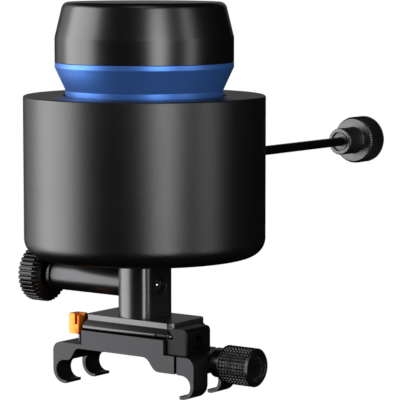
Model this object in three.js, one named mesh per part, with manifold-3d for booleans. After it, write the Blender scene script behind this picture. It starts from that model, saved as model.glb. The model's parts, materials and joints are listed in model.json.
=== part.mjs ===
// Scanner head on a quick-release rail clamp.
// Millimetres, +Z up. X runs across the two rails, Y along them, and the turret turns about Z.
// Heights are counted from the underside of the rail hooks; the last lines move the origin to the
// clamp's underside, straight below the post.

import * as THREE from 'three';
import { mergeVertices } from 'three/addons/utils/BufferGeometryUtils.js';
import Module from 'manifold-3d';

const wasm = await Module();
wasm.setup();

// ---------------------------------------------------------------- driving dimensions

// Rails and hooks
const RAIL_DIAMETER = 8;
const RAIL_SPACING = 60;
const RAIL_CLEARANCE = 0.2;
const HOOK_FLOOR = 1.2;
const HOOK_WALL = 1.6;
const HOOK_CORNER = 3.6;
const HOOK_LENGTH = 9.4;
const CLAMP_DEPTH = 28;
const CLAMP_MIDDLE_Y = -1.3;

// Clamp body and its arms
const ARM_THICKNESS = 7.1;
const BODY_HALF_WIDTH = 20.9;
const BODY_RISE = 5.9;
const UNDERSIDE_RISE = 5.3;
const LEFT_RAMP = 6;
const RIGHT_RAMP = 8;
const RIGHT_ARM_FREE = 7.7;
const JAW_WIDTH = 8.3;

// Dovetail plate
const PLATE_WIDTH = 44.4;
const PLATE_DEPTH = 23.4;
const PLATE_SLAB = 2.2;
const PLATE_FLARE = 2.2;
const PLATE_FLARE_HEIGHT = 2.3;
const PLATE_LIP = 1;
const PLATE_CORNER = 2;
const PLATE_NOTCH = 6.8;
const PLATE_GAP = 0.7;

// Dovetail jaw block and quick-release lever
const BLOCK_WIDTH = 10;
const BLOCK_DEPTH = 15.8;
const BLOCK_SETBACK = 1.5;
const BLOCK_ROUND = 1.7;
const BLOCK_DROP = 1.4;
const BLOCK_LEAD_IN = 1.7;
const BLOCK_CORNER = 0.6;
const BLOCK_HOLE_RADIUS = 3.1;
const LEVER_TAB_WIDTH = 5.7;
const LEVER_TAB_DEPTH = 5.6;
const LEVER_TAB_HEIGHT = 8.2;
const LEVER_LIFT = 3.4;
const LEVER_ARM_WIDTH = 3.2;
const LEVER_ARM_HEIGHT = 2.5;
const LEVER_SLOT = 1.5;
const LEVER_SLOT_DEPTH = 4.35;
const LEVER_TONGUE = 1;
const LEVER_TONGUE_DROP = 0.7;
const LEVER_PIN_RADIUS = 1.5;
const STOP_PIN_RADIUS = 1;
const STOP_PIN_DEPTH = 2.5;

// Thumbscrew
const THUMB_SPINDLE_RADIUS = 2.3;
const THUMB_KNOB_RADIUS = 7.65;
const THUMB_KNOB_LENGTH = 14.5;
const THUMB_NECK_RADIUS = 5.7;
const THUMB_NECK_LENGTH = 5;
const GUIDE_PIN_RADIUS = 1.4;

// Post and clamping screw
const POST_WIDTH = 15.7;
const POST_DEPTH = 22.6;
const POST_BULGE = 11;
const POST_CORNER = 4.9;
const POST_HEIGHT = 24.6;
const SCREW_PAIR_SPACING = 12;
const TUBE_RADIUS = 6.2;
const TUBE_REACH = 45;
const TUBE_RISE = 13;
const LOCK_SPINDLE_RADIUS = 2;
const LOCK_KNOB_RADIUS = 11.8;
const LOCK_KNOB_LENGTH = 10.1;
const LOCK_KNOB_RIBS = 36;
const LOCK_KNOB_CONE = 1.5;
const LOCK_KNOB_FACE = 7;
const RIB_DEPTH = 0.8;
const LOCK_COUNTERBORE_RADIUS = 3.7;
const SLEEVE_LENGTH = 2.9;

// Drum housing
const DRUM_RADIUS = 48.6;
const DRUM_HEIGHT = 64.5;
const DRUM_FOOT_ROUND = 6.9;
const DRUM_TOP_ROUND = 0.6;
const DRUM_WALL = 3;
const DECK_THICKNESS = 5;
const RECESS_DEPTH = 2;
const COVER_THICKNESS = 3;
const LEDGE_WIDTH = 6;
const LEDGE_HEIGHT = 4;

// Turret
const NECK_RADIUS = 31.6;
const NECK_SHOWN = 2.1;
const COLLAR_RADIUS = 35.85;
const COLLAR_CONE_HEIGHT = 9.2;
const COLLAR_BAND = 2;
const COLLAR_WALL = 3.2;
const CAP_SIDE_HEIGHT = 9.85;
const CAP_SHOULDER_HEIGHT = 11.2;
const CAP_SHOULDER_RADIUS = 33.1;
const CAP_TOP_ROUND = 2.9;
const CAP_WALL = 2.4;

// Turret drive
const BEARING_BORE_RADIUS = 4;
const BEARING_RADIUS = 11;
const BEARING_WIDTH = 7;
const CARRIER_WALL = 2.4;
const DRIVE_TO_BOARD = 12.1;
const STATOR_RADIUS = 22;
const STATOR_HEIGHT = 12;
const MAGNET_THICKNESS = 1.6;
const BELL_WALL = 1.4;

// Side shaft and its knob
const SHAFT_RADIUS = 2;
const SHAFT_DROP = 28.1;
const SHAFT_REACH = 143;
const HUB_RADIUS = 6;
const HUB_LENGTH = 11;
const DISC_KNOB_RADIUS = 10.5;
const DISC_KNOB_LENGTH = 11.1;
const DISC_KNOB_TEETH = 60;
const KNURL_DEPTH = 0.5;
const HUB_GROOVE = 0.5;
const HUB_GROOVE_DEPTH = 1;

// Electronics and battery
const BOARD_THICKNESS = 1.6;
const BATTERY_THICKNESS = 8.6;
const BATTERY_SIZE = [22, 40];
const STANDOFF_RADIUS = 2.2;

// Fits
const FIT = 0.1;
const CLEAR = 0.3;
const SLIT = 1.3;
const TURN = 2 * Math.PI;

// Facets round a full turn: large outer shells, middling parts, small and hidden parts
const FINE = 48;
const MEDIUM = 32;
const COARSE = 20;
const SMALL = 12;

// ---------------------------------------------------------------- geometry helpers

// Closed solid from any closed three.js geometry, with its faces turned outwards.
function solidOf(geometry) {
  const bare = geometry.index ? geometry.toNonIndexed() : geometry;
  bare.deleteAttribute('normal');
  bare.deleteAttribute('uv');
  const merged = mergeVertices(bare, 1e-4);
  const position = merged.attributes.position.array;
  const index = merged.index.array;
  const triangles = [];
  let volume = 0;
  for (let i = 0; i < index.length; i += 3) {
    const [a, b, c] = [index[i], index[i + 1], index[i + 2]];
    if (a !== b && b !== c && c !== a) {
      triangles.push(a, b, c);
      const [pa, pb, pc] = [a, b, c].map((v) => new THREE.Vector3().fromArray(position, 3 * v));
      volume += pa.dot(pb.cross(pc));
    }
  }
  const outward = volume > 0 ? triangles : triangles.reverse();
  const mesh = { numProp: 3, vertProperties: Float32Array.from(position), triVerts: Uint32Array.from(outward) };
  return new wasm.Manifold(new wasm.Mesh(mesh));
}

function geometryOf(solid) {
  const mesh = solid.getMesh();
  const geometry = new THREE.BufferGeometry();
  geometry.setAttribute('position', new THREE.BufferAttribute(Float32Array.from(mesh.vertProperties), 3));
  geometry.setIndex(new THREE.BufferAttribute(Uint32Array.from(mesh.triVerts), 1));
  geometry.computeVertexNormals();
  return geometry;
}

// Moves a geometry drawn along +Z so that it runs along the named axis through a centre point.
function along(geometry, axis, [x, y, z]) {
  if (axis === 'x') geometry.rotateY(Math.PI / 2);
  if (axis === 'y') geometry.rotateX(-Math.PI / 2);
  return geometry.translate(x, y, z);
}

// Solid of revolution from an outline of [radius, distance along the axis] points.
function turned(outline, { axis = 'z', at = [0, 0, 0], segments = COARSE } = {}) {
  const points = outline.map(([r, h]) => new THREE.Vector2(r, h));
  const openEnds = outline[0][0] === 0 && outline.at(-1)[0] === 0;
  if (!openEnds) points.push(points[0].clone());
  const lathe = new THREE.LatheGeometry(points, segments);
  lathe.rotateX(Math.PI / 2);
  return solidOf(along(lathe, axis, at));
}

const rod = (radius, from, to, place = {}) => turned([[0, from], [radius, from], [radius, to], [0, to]], place);

const ring = (inner, outer, from, to, place = {}) =>
  turned([[inner, from], [outer, from], [outer, to], [inner, to]], place);

// Points of an arc, angles in degrees.
function arc(cx, cy, radius, from, to, steps) {
  const points = [];
  for (let i = 0; i <= steps; i += 1) {
    const angle = THREE.MathUtils.degToRad(from + ((to - from) * i) / steps);
    points.push([cx + radius * Math.cos(angle), cy + radius * Math.sin(angle)]);
  }
  return points;
}

const shapeOf = (points) => new THREE.Shape(points.map(([x, y]) => new THREE.Vector2(x, y)));

// Prism of an outline: along 'z' the outline is [x, y], along 'x' it is [y, z], along 'y' it is [x, z].
function prism(points, axis, from, to) {
  const geometry = new THREE.ExtrudeGeometry(shapeOf(points), { depth: to - from, bevelEnabled: false });
  geometry.translate(0, 0, from);
  const unit = { x: new THREE.Vector3(1, 0, 0), y: new THREE.Vector3(0, 1, 0), z: new THREE.Vector3(0, 0, 1) };
  const basis = { x: [unit.y, unit.z, unit.x], y: [unit.x, unit.z, unit.y], z: [unit.x, unit.y, unit.z] }[axis];
  return solidOf(geometry.applyMatrix4(new THREE.Matrix4().makeBasis(...basis)));
}

function box([x0, y0, z0], [x1, y1, z1]) {
  const geometry = new THREE.BoxGeometry(x1 - x0, y1 - y0, z1 - z0);
  return solidOf(geometry.translate((x0 + x1) / 2, (y0 + y1) / 2, (z0 + z1) / 2));
}

// Outline of a rectangle with round corners, centred on the origin.
function roundedRectangle(width, depth, radius, steps = 6) {
  const x = width / 2 - radius;
  const y = depth / 2 - radius;
  return [
    ...arc(x, y, radius, 0, 90, steps),
    ...arc(-x, y, radius, 90, 180, steps),
    ...arc(-x, -y, radius, 180, 270, steps),
    ...arc(x, -y, radius, 270, 360, steps),
  ];
}

// Outline of a wheel with straight teeth. A profile lists one tooth's points as [share of its pitch, radius].
const flatTooth = (radius, depth) => [[0.1, radius - depth], [0.35, radius], [0.75, radius], [1, radius - depth]];
const sharpTooth = (radius, depth) => [[0.5, radius], [1, radius - depth]];

function toothedOutline(radius, depth, teeth, profile) {
  const points = [];
  for (let i = 0; i < teeth; i += 1) {
    for (const [share, r] of profile(radius, depth)) {
      const angle = (TURN * (i + share)) / teeth;
      points.push([r * Math.cos(angle), r * Math.sin(angle)]);
    }
  }
  return points;
}

function toothedWheel(radius, depth, teeth, profile, from, to, axis, at) {
  const options = { depth: to - from, bevelEnabled: false };
  const geometry = new THREE.ExtrudeGeometry(shapeOf(toothedOutline(radius, depth, teeth, profile)), options);
  return solidOf(along(geometry.translate(0, 0, from), axis, at));
}

// ---------------------------------------------------------------- finishes and nodes

const FINISHES = {
  blackDrum: { color: 0x17181a, roughness: 0.42, metalness: 0.6 },
  blackCap: { color: 0x101113, roughness: 0.34, metalness: 0.2 },
  blueAnodised: { color: 0x2f62c4, roughness: 0.3, metalness: 0.85 },
  clampBlack: { color: 0x26282b, roughness: 0.45, metalness: 0.75 },
  knobBlack: { color: 0x1c1d20, roughness: 0.4, metalness: 0.75 },
  orange: { color: 0xe8781a, roughness: 0.4, metalness: 0.6 },
  steel: { color: 0x9a9da1, roughness: 0.3, metalness: 1 },
  darkSteel: { color: 0x303236, roughness: 0.35, metalness: 1 },
  bronze: { color: 0x9a7440, roughness: 0.4, metalness: 0.9 },
  copper: { color: 0xa8623a, roughness: 0.45, metalness: 0.8 },
  board: { color: 0x1d5a3a, roughness: 0.6, metalness: 0 },
  battery: { color: 0x3c5f8f, roughness: 0.6, metalness: 0.1 },
  lensGlass: { color: 0x8090b0, roughness: 0.05, metalness: 0 },
};

const scanner = new THREE.Group();

function node(name, solid, finish) {
  const mesh = new THREE.Mesh(geometryOf(solid), new THREE.MeshStandardMaterial(FINISHES[finish]));
  mesh.name = name;
  scanner.add(mesh);
}

// ---------------------------------------------------------------- sizes worked out from the above

const RAIL_BORE = RAIL_DIAMETER / 2 + RAIL_CLEARANCE;
const RAIL_X = RAIL_SPACING / 2;
const RAIL_Z = HOOK_FLOOR + RAIL_BORE;
const OUTER_X = RAIL_X + RAIL_BORE + HOOK_WALL;
const ARM_BOTTOM = RAIL_Z + RAIL_BORE + CLEAR / 2;
const ARM_TOP = ARM_BOTTOM + ARM_THICKNESS;
const BODY_TOP = ARM_TOP + BODY_RISE;
const UNDERSIDE = ARM_BOTTOM + UNDERSIDE_RISE;
const FRONT = CLAMP_MIDDLE_Y - CLAMP_DEPTH / 2;
const REAR = CLAMP_MIDDLE_Y + CLAMP_DEPTH / 2;
const JAW_INNER_X = OUTER_X - JAW_WIDTH;
const ARM_END_X = JAW_INNER_X - SLIT;
const SCREW_Z = (ARM_BOTTOM + ARM_TOP) / 2;

const PLATE_BOTTOM = BODY_TOP + PLATE_GAP;
const PLATE_TOP = PLATE_BOTTOM + PLATE_LIP + PLATE_FLARE_HEIGHT + PLATE_SLAB;
const SKIRT_X = PLATE_WIDTH / 2 + PLATE_FLARE;
const SCREW_PAIR_Y = SCREW_PAIR_SPACING / 2;

const TUBE_Z = PLATE_TOP + TUBE_RISE;
const DRUM_BOTTOM = PLATE_TOP + POST_HEIGHT;
const DRUM_TOP = DRUM_BOTTOM + DRUM_HEIGHT;
const DRUM_BORE = DRUM_RADIUS - DRUM_WALL;
const COVER_RADIUS = DRUM_RADIUS - DRUM_FOOT_ROUND - 0.9;
const LEDGE_Z = DRUM_BOTTOM + COVER_THICKNESS + CLEAR;
const LEDGE_BORE = COVER_RADIUS - LEDGE_WIDTH;
const COVER_SCREW_CIRCLE = COVER_RADIUS - LEDGE_WIDTH / 2 + 0.3;
const DECK_BOTTOM = DRUM_TOP - DECK_THICKNESS;
const RECESS_FLOOR = DRUM_TOP - RECESS_DEPTH;
const SHAFT_Z = DRUM_TOP - SHAFT_DROP;
const STANDOFF_BOTTOM = DRUM_BOTTOM + COVER_THICKNESS;
const BOARD_BOTTOM = STANDOFF_BOTTOM + BATTERY_THICKNESS + 2 * CLEAR;
const BOARD_TOP = BOARD_BOTTOM + BOARD_THICKNESS;

// ---------------------------------------------------------------- rail clamp

// Lower part of a left-hand hook, from the arm's outer top corner round the rail to the arm's underside.
function hookOutline() {
  const outerTurn = RAIL_BORE + HOOK_WALL;
  return [
    ...arc(-OUTER_X + HOOK_CORNER, ARM_TOP - HOOK_CORNER, HOOK_CORNER, 90, 180, 5),
    ...arc(-RAIL_X, outerTurn, outerTurn, 180, 280, 12).map(([x, z]) => [x, Math.max(z, 0)]),
    ...arc(-RAIL_X, RAIL_Z, RAIL_BORE, 286, 90, 16),
  ];
}

const mirrored = (points) => points.map(([x, z]) => [-x, z]).reverse();

// Points of the S-shaped ramp that joins an arm's underside to the middle of the clamp.
function ramp(fromX, fromZ, toX, toZ, steps = 8) {
  const middle = (fromX + toX) / 2;
  const points = [[fromX, fromZ], [middle, fromZ], [middle, toZ], [toX, toZ]];
  const curve = new THREE.CubicBezierCurve(...points.map(([x, z]) => new THREE.Vector2(x, z)));
  return curve.getPoints(steps).map((p) => [p.x, p.y]);
}

// The free space between the front and the rear hooks, below the arms.
function hookGap(fromX, toX) {
  return box([fromX, FRONT + HOOK_LENGTH, -1], [toX, REAR - HOOK_LENGTH, ARM_BOTTOM]);
}

function clampBody() {
  const rampFoot = -RAIL_X + 1.6;
  const rightRampEnd = ARM_END_X - RIGHT_ARM_FREE;
  const outline = [
    [-BODY_HALF_WIDTH, BODY_TOP],
    [-BODY_HALF_WIDTH, ARM_TOP],
    ...hookOutline(),
    ...ramp(rampFoot, ARM_BOTTOM, rampFoot + LEFT_RAMP, UNDERSIDE),
    ...ramp(rightRampEnd - RIGHT_RAMP, UNDERSIDE, rightRampEnd, ARM_BOTTOM),
    [ARM_END_X, ARM_BOTTOM],
    [ARM_END_X, ARM_TOP],
    [BODY_HALF_WIDTH, ARM_TOP],
    [BODY_HALF_WIDTH, BODY_TOP],
  ];
  let body = prism(outline, 'y', FRONT, REAR);
  body = body.subtract(hookGap(-OUTER_X - 1, rampFoot + LEFT_RAMP));
  body = body.subtract(rod(THUMB_SPINDLE_RADIUS + FIT, THUMB_BORE_X, ARM_END_X + 1, ON_THUMBSCREW));
  for (const y of GUIDE_PIN_YS) {
    const onPin = { axis: 'x', at: [0, y, SCREW_Z], segments: SMALL };
    body = body.subtract(rod(GUIDE_PIN_RADIUS + FIT, GUIDE_PIN_START - FIT, ARM_END_X + 1, onPin));
  }
  body = body.subtract(rod(LEVER_PIN_RADIUS + FIT, LEVER_PIN_FOOT - FIT, ARM_TOP + 1, ON_LEVER_PIN));
  body = body.subtract(rod(STOP_PIN_RADIUS + FIT, ARM_TOP - STOP_PIN_DEPTH - FIT, ARM_TOP + 1, ON_STOP_PIN));
  const blockScrewHole = { axis: 'x', at: [0, BLOCK_SCREW_Y, BLOCK_SCREW_Z], segments: SMALL };
  return body.subtract(rod(BLOCK_SCREW_RADIUS + FIT, BLOCK_SCREW_TIP_X - 1, BODY_HALF_WIDTH + 1, blockScrewHole));
}

const THUMB_TIP_X = ARM_END_X - 8;
const THUMB_BORE_X = THUMB_TIP_X - 1.6;
const GUIDE_PIN_YS = [FRONT + HOOK_LENGTH / 2, REAR - HOOK_LENGTH / 2];
const GUIDE_PIN_START = ARM_END_X - 6;
const GUIDE_PIN_REACH = 5;
const LEVER_PIN_X = -SKIRT_X - 1.9;
const LEVER_PIN_Y = 8;
const LEVER_PIN_FOOT = ARM_BOTTOM + 1 + FIT;
const STOP_PIN_X = -SKIRT_X - 0.8;
const STOP_PIN_Y = -10.2;
const ON_THUMBSCREW = { axis: 'x', at: [0, CLAMP_MIDDLE_Y, SCREW_Z], segments: COARSE };
const ON_LEVER_PIN = { at: [LEVER_PIN_X, LEVER_PIN_Y, 0], segments: COARSE };
const ON_STOP_PIN = { at: [STOP_PIN_X, STOP_PIN_Y, 0], segments: COARSE };
const BLOCK_X = BODY_HALF_WIDTH + CLEAR;
const BLOCK_OUTER_X = BLOCK_X + BLOCK_WIDTH;
const BLOCK_TOP = PLATE_TOP - BLOCK_DROP;
const BLOCK_BOTTOM = ARM_TOP + CLEAR;
const BLOCK_FRONT = FRONT + BLOCK_SETBACK;
const BLOCK_SCREW_Y = BLOCK_FRONT + BLOCK_DEPTH / 2;
const BLOCK_SCREW_Z = (BLOCK_BOTTOM + BLOCK_TOP) / 2 - 0.9;
const BLOCK_SCREW_RADIUS = 1.5;
const BLOCK_SCREW_TIP_X = BODY_HALF_WIDTH - 6;

node('clamp_body', clampBody(), 'clampBlack');

function movingJaw() {
  const outline = [[JAW_INNER_X, ARM_BOTTOM], ...mirrored(hookOutline()), [JAW_INNER_X, ARM_TOP]];
  let jaw = prism(outline, 'y', FRONT, REAR).subtract(hookGap(JAW_INNER_X - 1, OUTER_X + 1));
  jaw = jaw.subtract(rod(THUMB_SPINDLE_RADIUS + FIT, JAW_INNER_X - 1, OUTER_X + 1, ON_THUMBSCREW));
  jaw = jaw.subtract(rod(CLIP_RADIUS + FIT, JAW_INNER_X - 1, JAW_INNER_X + CLIP_POCKET, ON_THUMBSCREW));
  for (const y of GUIDE_PIN_YS) {
    const onPin = { axis: 'x', at: [0, y, SCREW_Z], segments: SMALL };
    jaw = jaw.subtract(rod(GUIDE_PIN_RADIUS + FIT, JAW_INNER_X - 1, JAW_INNER_X + GUIDE_PIN_REACH + 1, onPin));
  }
  return jaw;
}

const CLIP_RADIUS = THUMB_SPINDLE_RADIUS + 0.8;
const CLIP_POCKET = 1.6;

node('moving_jaw', movingJaw(), 'clampBlack');

['front', 'rear'].forEach((end, i) => {
  const place = { axis: 'x', at: [0, GUIDE_PIN_YS[i], SCREW_Z], segments: SMALL };
  const tip = JAW_INNER_X + GUIDE_PIN_REACH - SLIT;
  node(`guide_pin_${end}`, rod(GUIDE_PIN_RADIUS, GUIDE_PIN_START, tip, place), 'steel');
});

// Thumbscrew: knob with a neck, a spindle through the jaw and a clip that carries the jaw with it.
const THUMB_NECK_X = OUTER_X + CLEAR;
const THUMB_KNOB_X = THUMB_NECK_X + THUMB_NECK_LENGTH;
const THUMB_END_X = THUMB_KNOB_X + THUMB_KNOB_LENGTH;
const CLIP_X = JAW_INNER_X + CLEAR;
const CLIP_WIDTH = 0.9;
const CLIP_GROOVE = 0.5;

function thumbKnob() {
  const chamfer = 0.8;
  const face = THUMB_KNOB_RADIUS - chamfer - 1.2;
  const dishFloor = THUMB_END_X - 1.4;
  const outline = [
    [THUMB_SPINDLE_RADIUS + FIT, THUMB_NECK_X],
    [THUMB_NECK_RADIUS, THUMB_NECK_X],
    [THUMB_NECK_RADIUS, THUMB_KNOB_X],
    [THUMB_KNOB_RADIUS - chamfer / 2, THUMB_KNOB_X],
    [THUMB_KNOB_RADIUS, THUMB_KNOB_X + chamfer / 2],
    [THUMB_KNOB_RADIUS, THUMB_END_X - chamfer],
    [THUMB_KNOB_RADIUS - chamfer, THUMB_END_X],
    [face, THUMB_END_X],
    [face - 0.5, dishFloor],
    [0, dishFloor],
    [0, THUMB_SOCKET_X],
    [THUMB_SPINDLE_RADIUS + FIT, THUMB_SOCKET_X],
  ];
  return turned(outline, { ...ON_THUMBSCREW, segments: MEDIUM });
}

const THUMB_SOCKET_X = THUMB_KNOB_X + 7;

function thumbSpindle() {
  const outline = [
    [0, THUMB_TIP_X],
    [THUMB_SPINDLE_RADIUS - 0.5, THUMB_TIP_X],
    [THUMB_SPINDLE_RADIUS, THUMB_TIP_X + 0.5],
    [THUMB_SPINDLE_RADIUS, CLIP_X - FIT],
    [THUMB_SPINDLE_RADIUS - CLIP_GROOVE, CLIP_X - FIT],
    [THUMB_SPINDLE_RADIUS - CLIP_GROOVE, CLIP_X + CLIP_WIDTH + FIT],
    [THUMB_SPINDLE_RADIUS, CLIP_X + CLIP_WIDTH + FIT],
    [THUMB_SPINDLE_RADIUS, THUMB_SOCKET_X - FIT],
    [0, THUMB_SOCKET_X - FIT],
  ];
  return turned(outline, ON_THUMBSCREW);
}

node('thumbscrew_knob', thumbKnob(), 'knobBlack');
node('thumbscrew_spindle', thumbSpindle(), 'steel');
const clipBore = THUMB_SPINDLE_RADIUS - CLIP_GROOVE + FIT;
node('thumbscrew_clip', ring(clipBore, CLIP_RADIUS - FIT, CLIP_X, CLIP_X + CLIP_WIDTH, ON_THUMBSCREW), 'darkSteel');

// Right dovetail jaw block: its undercut follows the plate's flare.
function jawBlock() {
  const lipX = SKIRT_X + CLEAR;
  const flareTopX = lipX - PLATE_FLARE;
  const shelf = PLATE_BOTTOM - CLEAR;
  const outline = [
    [BLOCK_X, BLOCK_BOTTOM],
    [BLOCK_OUTER_X, BLOCK_BOTTOM],
    ...arc(BLOCK_OUTER_X - BLOCK_ROUND, BLOCK_TOP - BLOCK_ROUND, BLOCK_ROUND, 0, 90, 5),
    [flareTopX + BLOCK_LEAD_IN, BLOCK_TOP],
    [flareTopX, PLATE_TOP - PLATE_SLAB + FIT],
    [lipX, PLATE_BOTTOM + PLATE_LIP],
    [lipX, shelf],
    [BLOCK_X, shelf],
  ];
  let block = prism(outline, 'y', BLOCK_FRONT, BLOCK_FRONT + BLOCK_DEPTH);
  const cut = [
    [BLOCK_OUTER_X - BLOCK_CORNER, BLOCK_FRONT - 1],
    [BLOCK_OUTER_X + 1, BLOCK_FRONT - 1],
    [BLOCK_OUTER_X + 1, BLOCK_FRONT + BLOCK_CORNER],
    [BLOCK_OUTER_X, BLOCK_FRONT + BLOCK_CORNER],
    [BLOCK_OUTER_X - BLOCK_CORNER, BLOCK_FRONT],
  ];
  block = block.subtract(prism(cut, 'z', 0, BLOCK_TOP + 1));
  const place = { axis: 'x', at: [0, BLOCK_SCREW_Y, BLOCK_SCREW_Z], segments: COARSE };
  block = block.subtract(rod(BLOCK_HOLE_RADIUS, BLOCK_HOLE_FLOOR_X, BLOCK_OUTER_X + 1, place));
  return block.subtract(rod(BLOCK_SCREW_RADIUS + FIT, BLOCK_X - 1, BLOCK_HOLE_FLOOR_X + 1, place));
}

const BLOCK_HOLE_FLOOR_X = BLOCK_X + 4;

function blockScrew() {
  const head = { axis: 'x', at: [0, BLOCK_SCREW_Y, BLOCK_SCREW_Z], segments: COARSE };
  const start = BLOCK_HOLE_FLOOR_X + FIT;
  const cap = rod(BLOCK_HOLE_RADIUS - 0.6, start, start + 3, head);
  const socket = rod(1.3, start + 1.2, start + 4, { ...head, segments: 6 });
  return cap.add(rod(BLOCK_SCREW_RADIUS, BLOCK_SCREW_TIP_X, start + 1, head)).subtract(socket);
}

node('dovetail_jaw', jawBlock(), 'clampBlack');
node('dovetail_jaw_screw', blockScrew(), 'darkSteel');

// Quick-release lever: tab, arm, dovetail nose and eye, on an upright pin.
const LEVER_BOTTOM = ARM_TOP + LEVER_LIFT;
const LEVER_INNER_X = -SKIRT_X - CLEAR - 0.1;
const TAB_FRONT = FRONT + 3.6;

function lever() {
  const tabX = LEVER_INNER_X - LEVER_TAB_WIDTH;
  const tabBack = TAB_FRONT + LEVER_TAB_DEPTH;
  const tabTop = LEVER_BOTTOM + LEVER_TAB_HEIGHT;
  const armTop = LEVER_BOTTOM + LEVER_ARM_HEIGHT;
  const armX = LEVER_INNER_X - LEVER_ARM_WIDTH;
  const plan = roundedRectangle(LEVER_TAB_WIDTH, LEVER_TAB_DEPTH, 0.6, 2);
  const tabCentre = [(tabX + LEVER_INNER_X) / 2, (TAB_FRONT + tabBack) / 2];
  const tab = prism(plan.map(([x, y]) => [x + tabCentre[0], y + tabCentre[1]]), 'z', LEVER_BOTTOM, tabTop);
  const arm = box([armX, tabBack - 1, LEVER_BOTTOM], [LEVER_INNER_X, LEVER_PIN_Y, armTop]);
  const eye = rod(LEVER_EYE_RADIUS, LEVER_BOTTOM, armTop, ON_LEVER_PIN);
  const noseTop = PLATE_BOTTOM + PLATE_LIP + PLATE_FLARE_HEIGHT * 0.8;
  const nose = [
    [armX + 0.6, armTop - 0.5],
    [LEVER_INNER_X, armTop - 0.5],
    [LEVER_INNER_X, PLATE_BOTTOM + PLATE_LIP],
    [LEVER_INNER_X + PLATE_FLARE * 0.8, noseTop],
    [LEVER_INNER_X - 0.6, noseTop],
    [armX + 0.6, PLATE_BOTTOM + PLATE_LIP + 0.6],
  ];
  const slotX = LEVER_INNER_X - LEVER_TONGUE;
  const slotBack = TAB_FRONT + LEVER_TAB_DEPTH * 0.6;
  const slotStart = [slotX - LEVER_SLOT, TAB_FRONT - 1, tabTop - LEVER_SLOT_DEPTH];
  const tongueStart = [slotX - LEVER_SLOT, TAB_FRONT - 1, tabTop - LEVER_TONGUE_DROP];
  let whole = tab.add(arm).add(eye).add(prism(nose, 'y', tabBack - 0.5, LEVER_PIN_Y - LEVER_EYE_RADIUS - 1));
  whole = whole.subtract(box(slotStart, [slotX, slotBack, tabTop + 1]));
  whole = whole.subtract(box(tongueStart, [0, slotBack, tabTop + 1]));
  return whole.subtract(rod(LEVER_PIN_RADIUS + FIT, LEVER_BOTTOM - 1, armTop + 1, ON_LEVER_PIN));
}

const LEVER_EYE_RADIUS = LEVER_PIN_RADIUS + 1.6;

function leverSpring() {
  const wire = 0.35;
  const coil = LEVER_PIN_RADIUS + FIT + wire + 0.25;
  const low = ARM_TOP + wire + FIT;
  const high = LEVER_BOTTOM - wire - FIT;
  const turns = 3;
  class Helix extends THREE.Curve {
    getPoint(t, target = new THREE.Vector3()) {
      const angle = TURN * turns * t;
      return target.set(coil * Math.cos(angle), coil * Math.sin(angle), low + (high - low) * t);
    }
  }
  const section = shapeOf(arc(0, 0, wire, 0, 300, 5));
  const tube = new THREE.ExtrudeGeometry(section, { steps: 36, bevelEnabled: false, extrudePath: new Helix() });
  return solidOf(tube.translate(LEVER_PIN_X, LEVER_PIN_Y, 0));
}

node('release_lever', lever(), 'orange');
const leverPinTop = LEVER_BOTTOM + LEVER_ARM_HEIGHT;
node('release_lever_pin', rod(LEVER_PIN_RADIUS, LEVER_PIN_FOOT, leverPinTop, ON_LEVER_PIN), 'steel');
node('release_lever_spring', leverSpring(), 'steel');
const stopPinFoot = ARM_TOP - STOP_PIN_DEPTH;
node('lever_stop_pin', rod(STOP_PIN_RADIUS, stopPinFoot, LEVER_BOTTOM - CLEAR, ON_STOP_PIN), 'darkSteel');

// ---------------------------------------------------------------- dovetail plate and post

const PLATE_SCREW_RADIUS = 1.5;
const PLATE_SCREW_HEAD = 2.8;
const PLATE_SCREW_REACH = 8;

function countersunkScrew(shank, head, bottom, reach) {
  const headTop = bottom + head - shank;
  return [[0, bottom], [head, bottom], [shank, headTop], [shank, bottom + reach], [0, bottom + reach]];
}

function plate() {
  const w = PLATE_WIDTH / 2;
  const d = PLATE_DEPTH / 2;
  const rearHalf = [[w, -d + PLATE_CORNER], [w, d - PLATE_CORNER], [w - PLATE_CORNER, d], [PLATE_CORNER - w, d]];
  const outline = [...rearHalf, ...rearHalf.map(([x, y]) => [-x, -y])];
  const flared = new THREE.ExtrudeGeometry(shapeOf(outline), {
    depth: PLATE_LIP,
    bevelThickness: PLATE_FLARE_HEIGHT,
    bevelSize: PLATE_FLARE,
    bevelSegments: 1,
  });
  const skirt = solidOf(flared.translate(0, 0, PLATE_BOTTOM));
  const under = box([-w * 2, -d * 2, 0], [w * 2, d * 2, PLATE_BOTTOM]);
  let whole = skirt.subtract(under).add(prism(outline, 'z', PLATE_TOP - PLATE_SLAB - 0.001, PLATE_TOP));
  const notch = box(
    [w - PLATE_NOTCH, -d - PLATE_FLARE - 1, PLATE_BOTTOM - 1],
    [w * 2, -d - PLATE_FLARE + 1, PLATE_BOTTOM + PLATE_LIP],
  );
  whole = whole.subtract(notch);
  const headHole = PLATE_SCREW_HEAD + 2 * FIT;
  const hole = countersunkScrew(PLATE_SCREW_RADIUS + FIT, headHole, PLATE_BOTTOM, PLATE_SCREW_REACH);
  for (const y of [-SCREW_PAIR_Y, SCREW_PAIR_Y]) {
    whole = whole.subtract(turned(hole, { at: [0, y, 0], segments: COARSE }));
  }
  return whole;
}

node('dovetail_plate', plate(), 'clampBlack');

const POST_SCREW_HEAD_Z = DRUM_BOTTOM + COVER_THICKNESS;
const POST_SCREW_DROP = 8;

const TUBE_SOCKET = 3;
const COUNTERBORE_DEPTH = 3;

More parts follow.
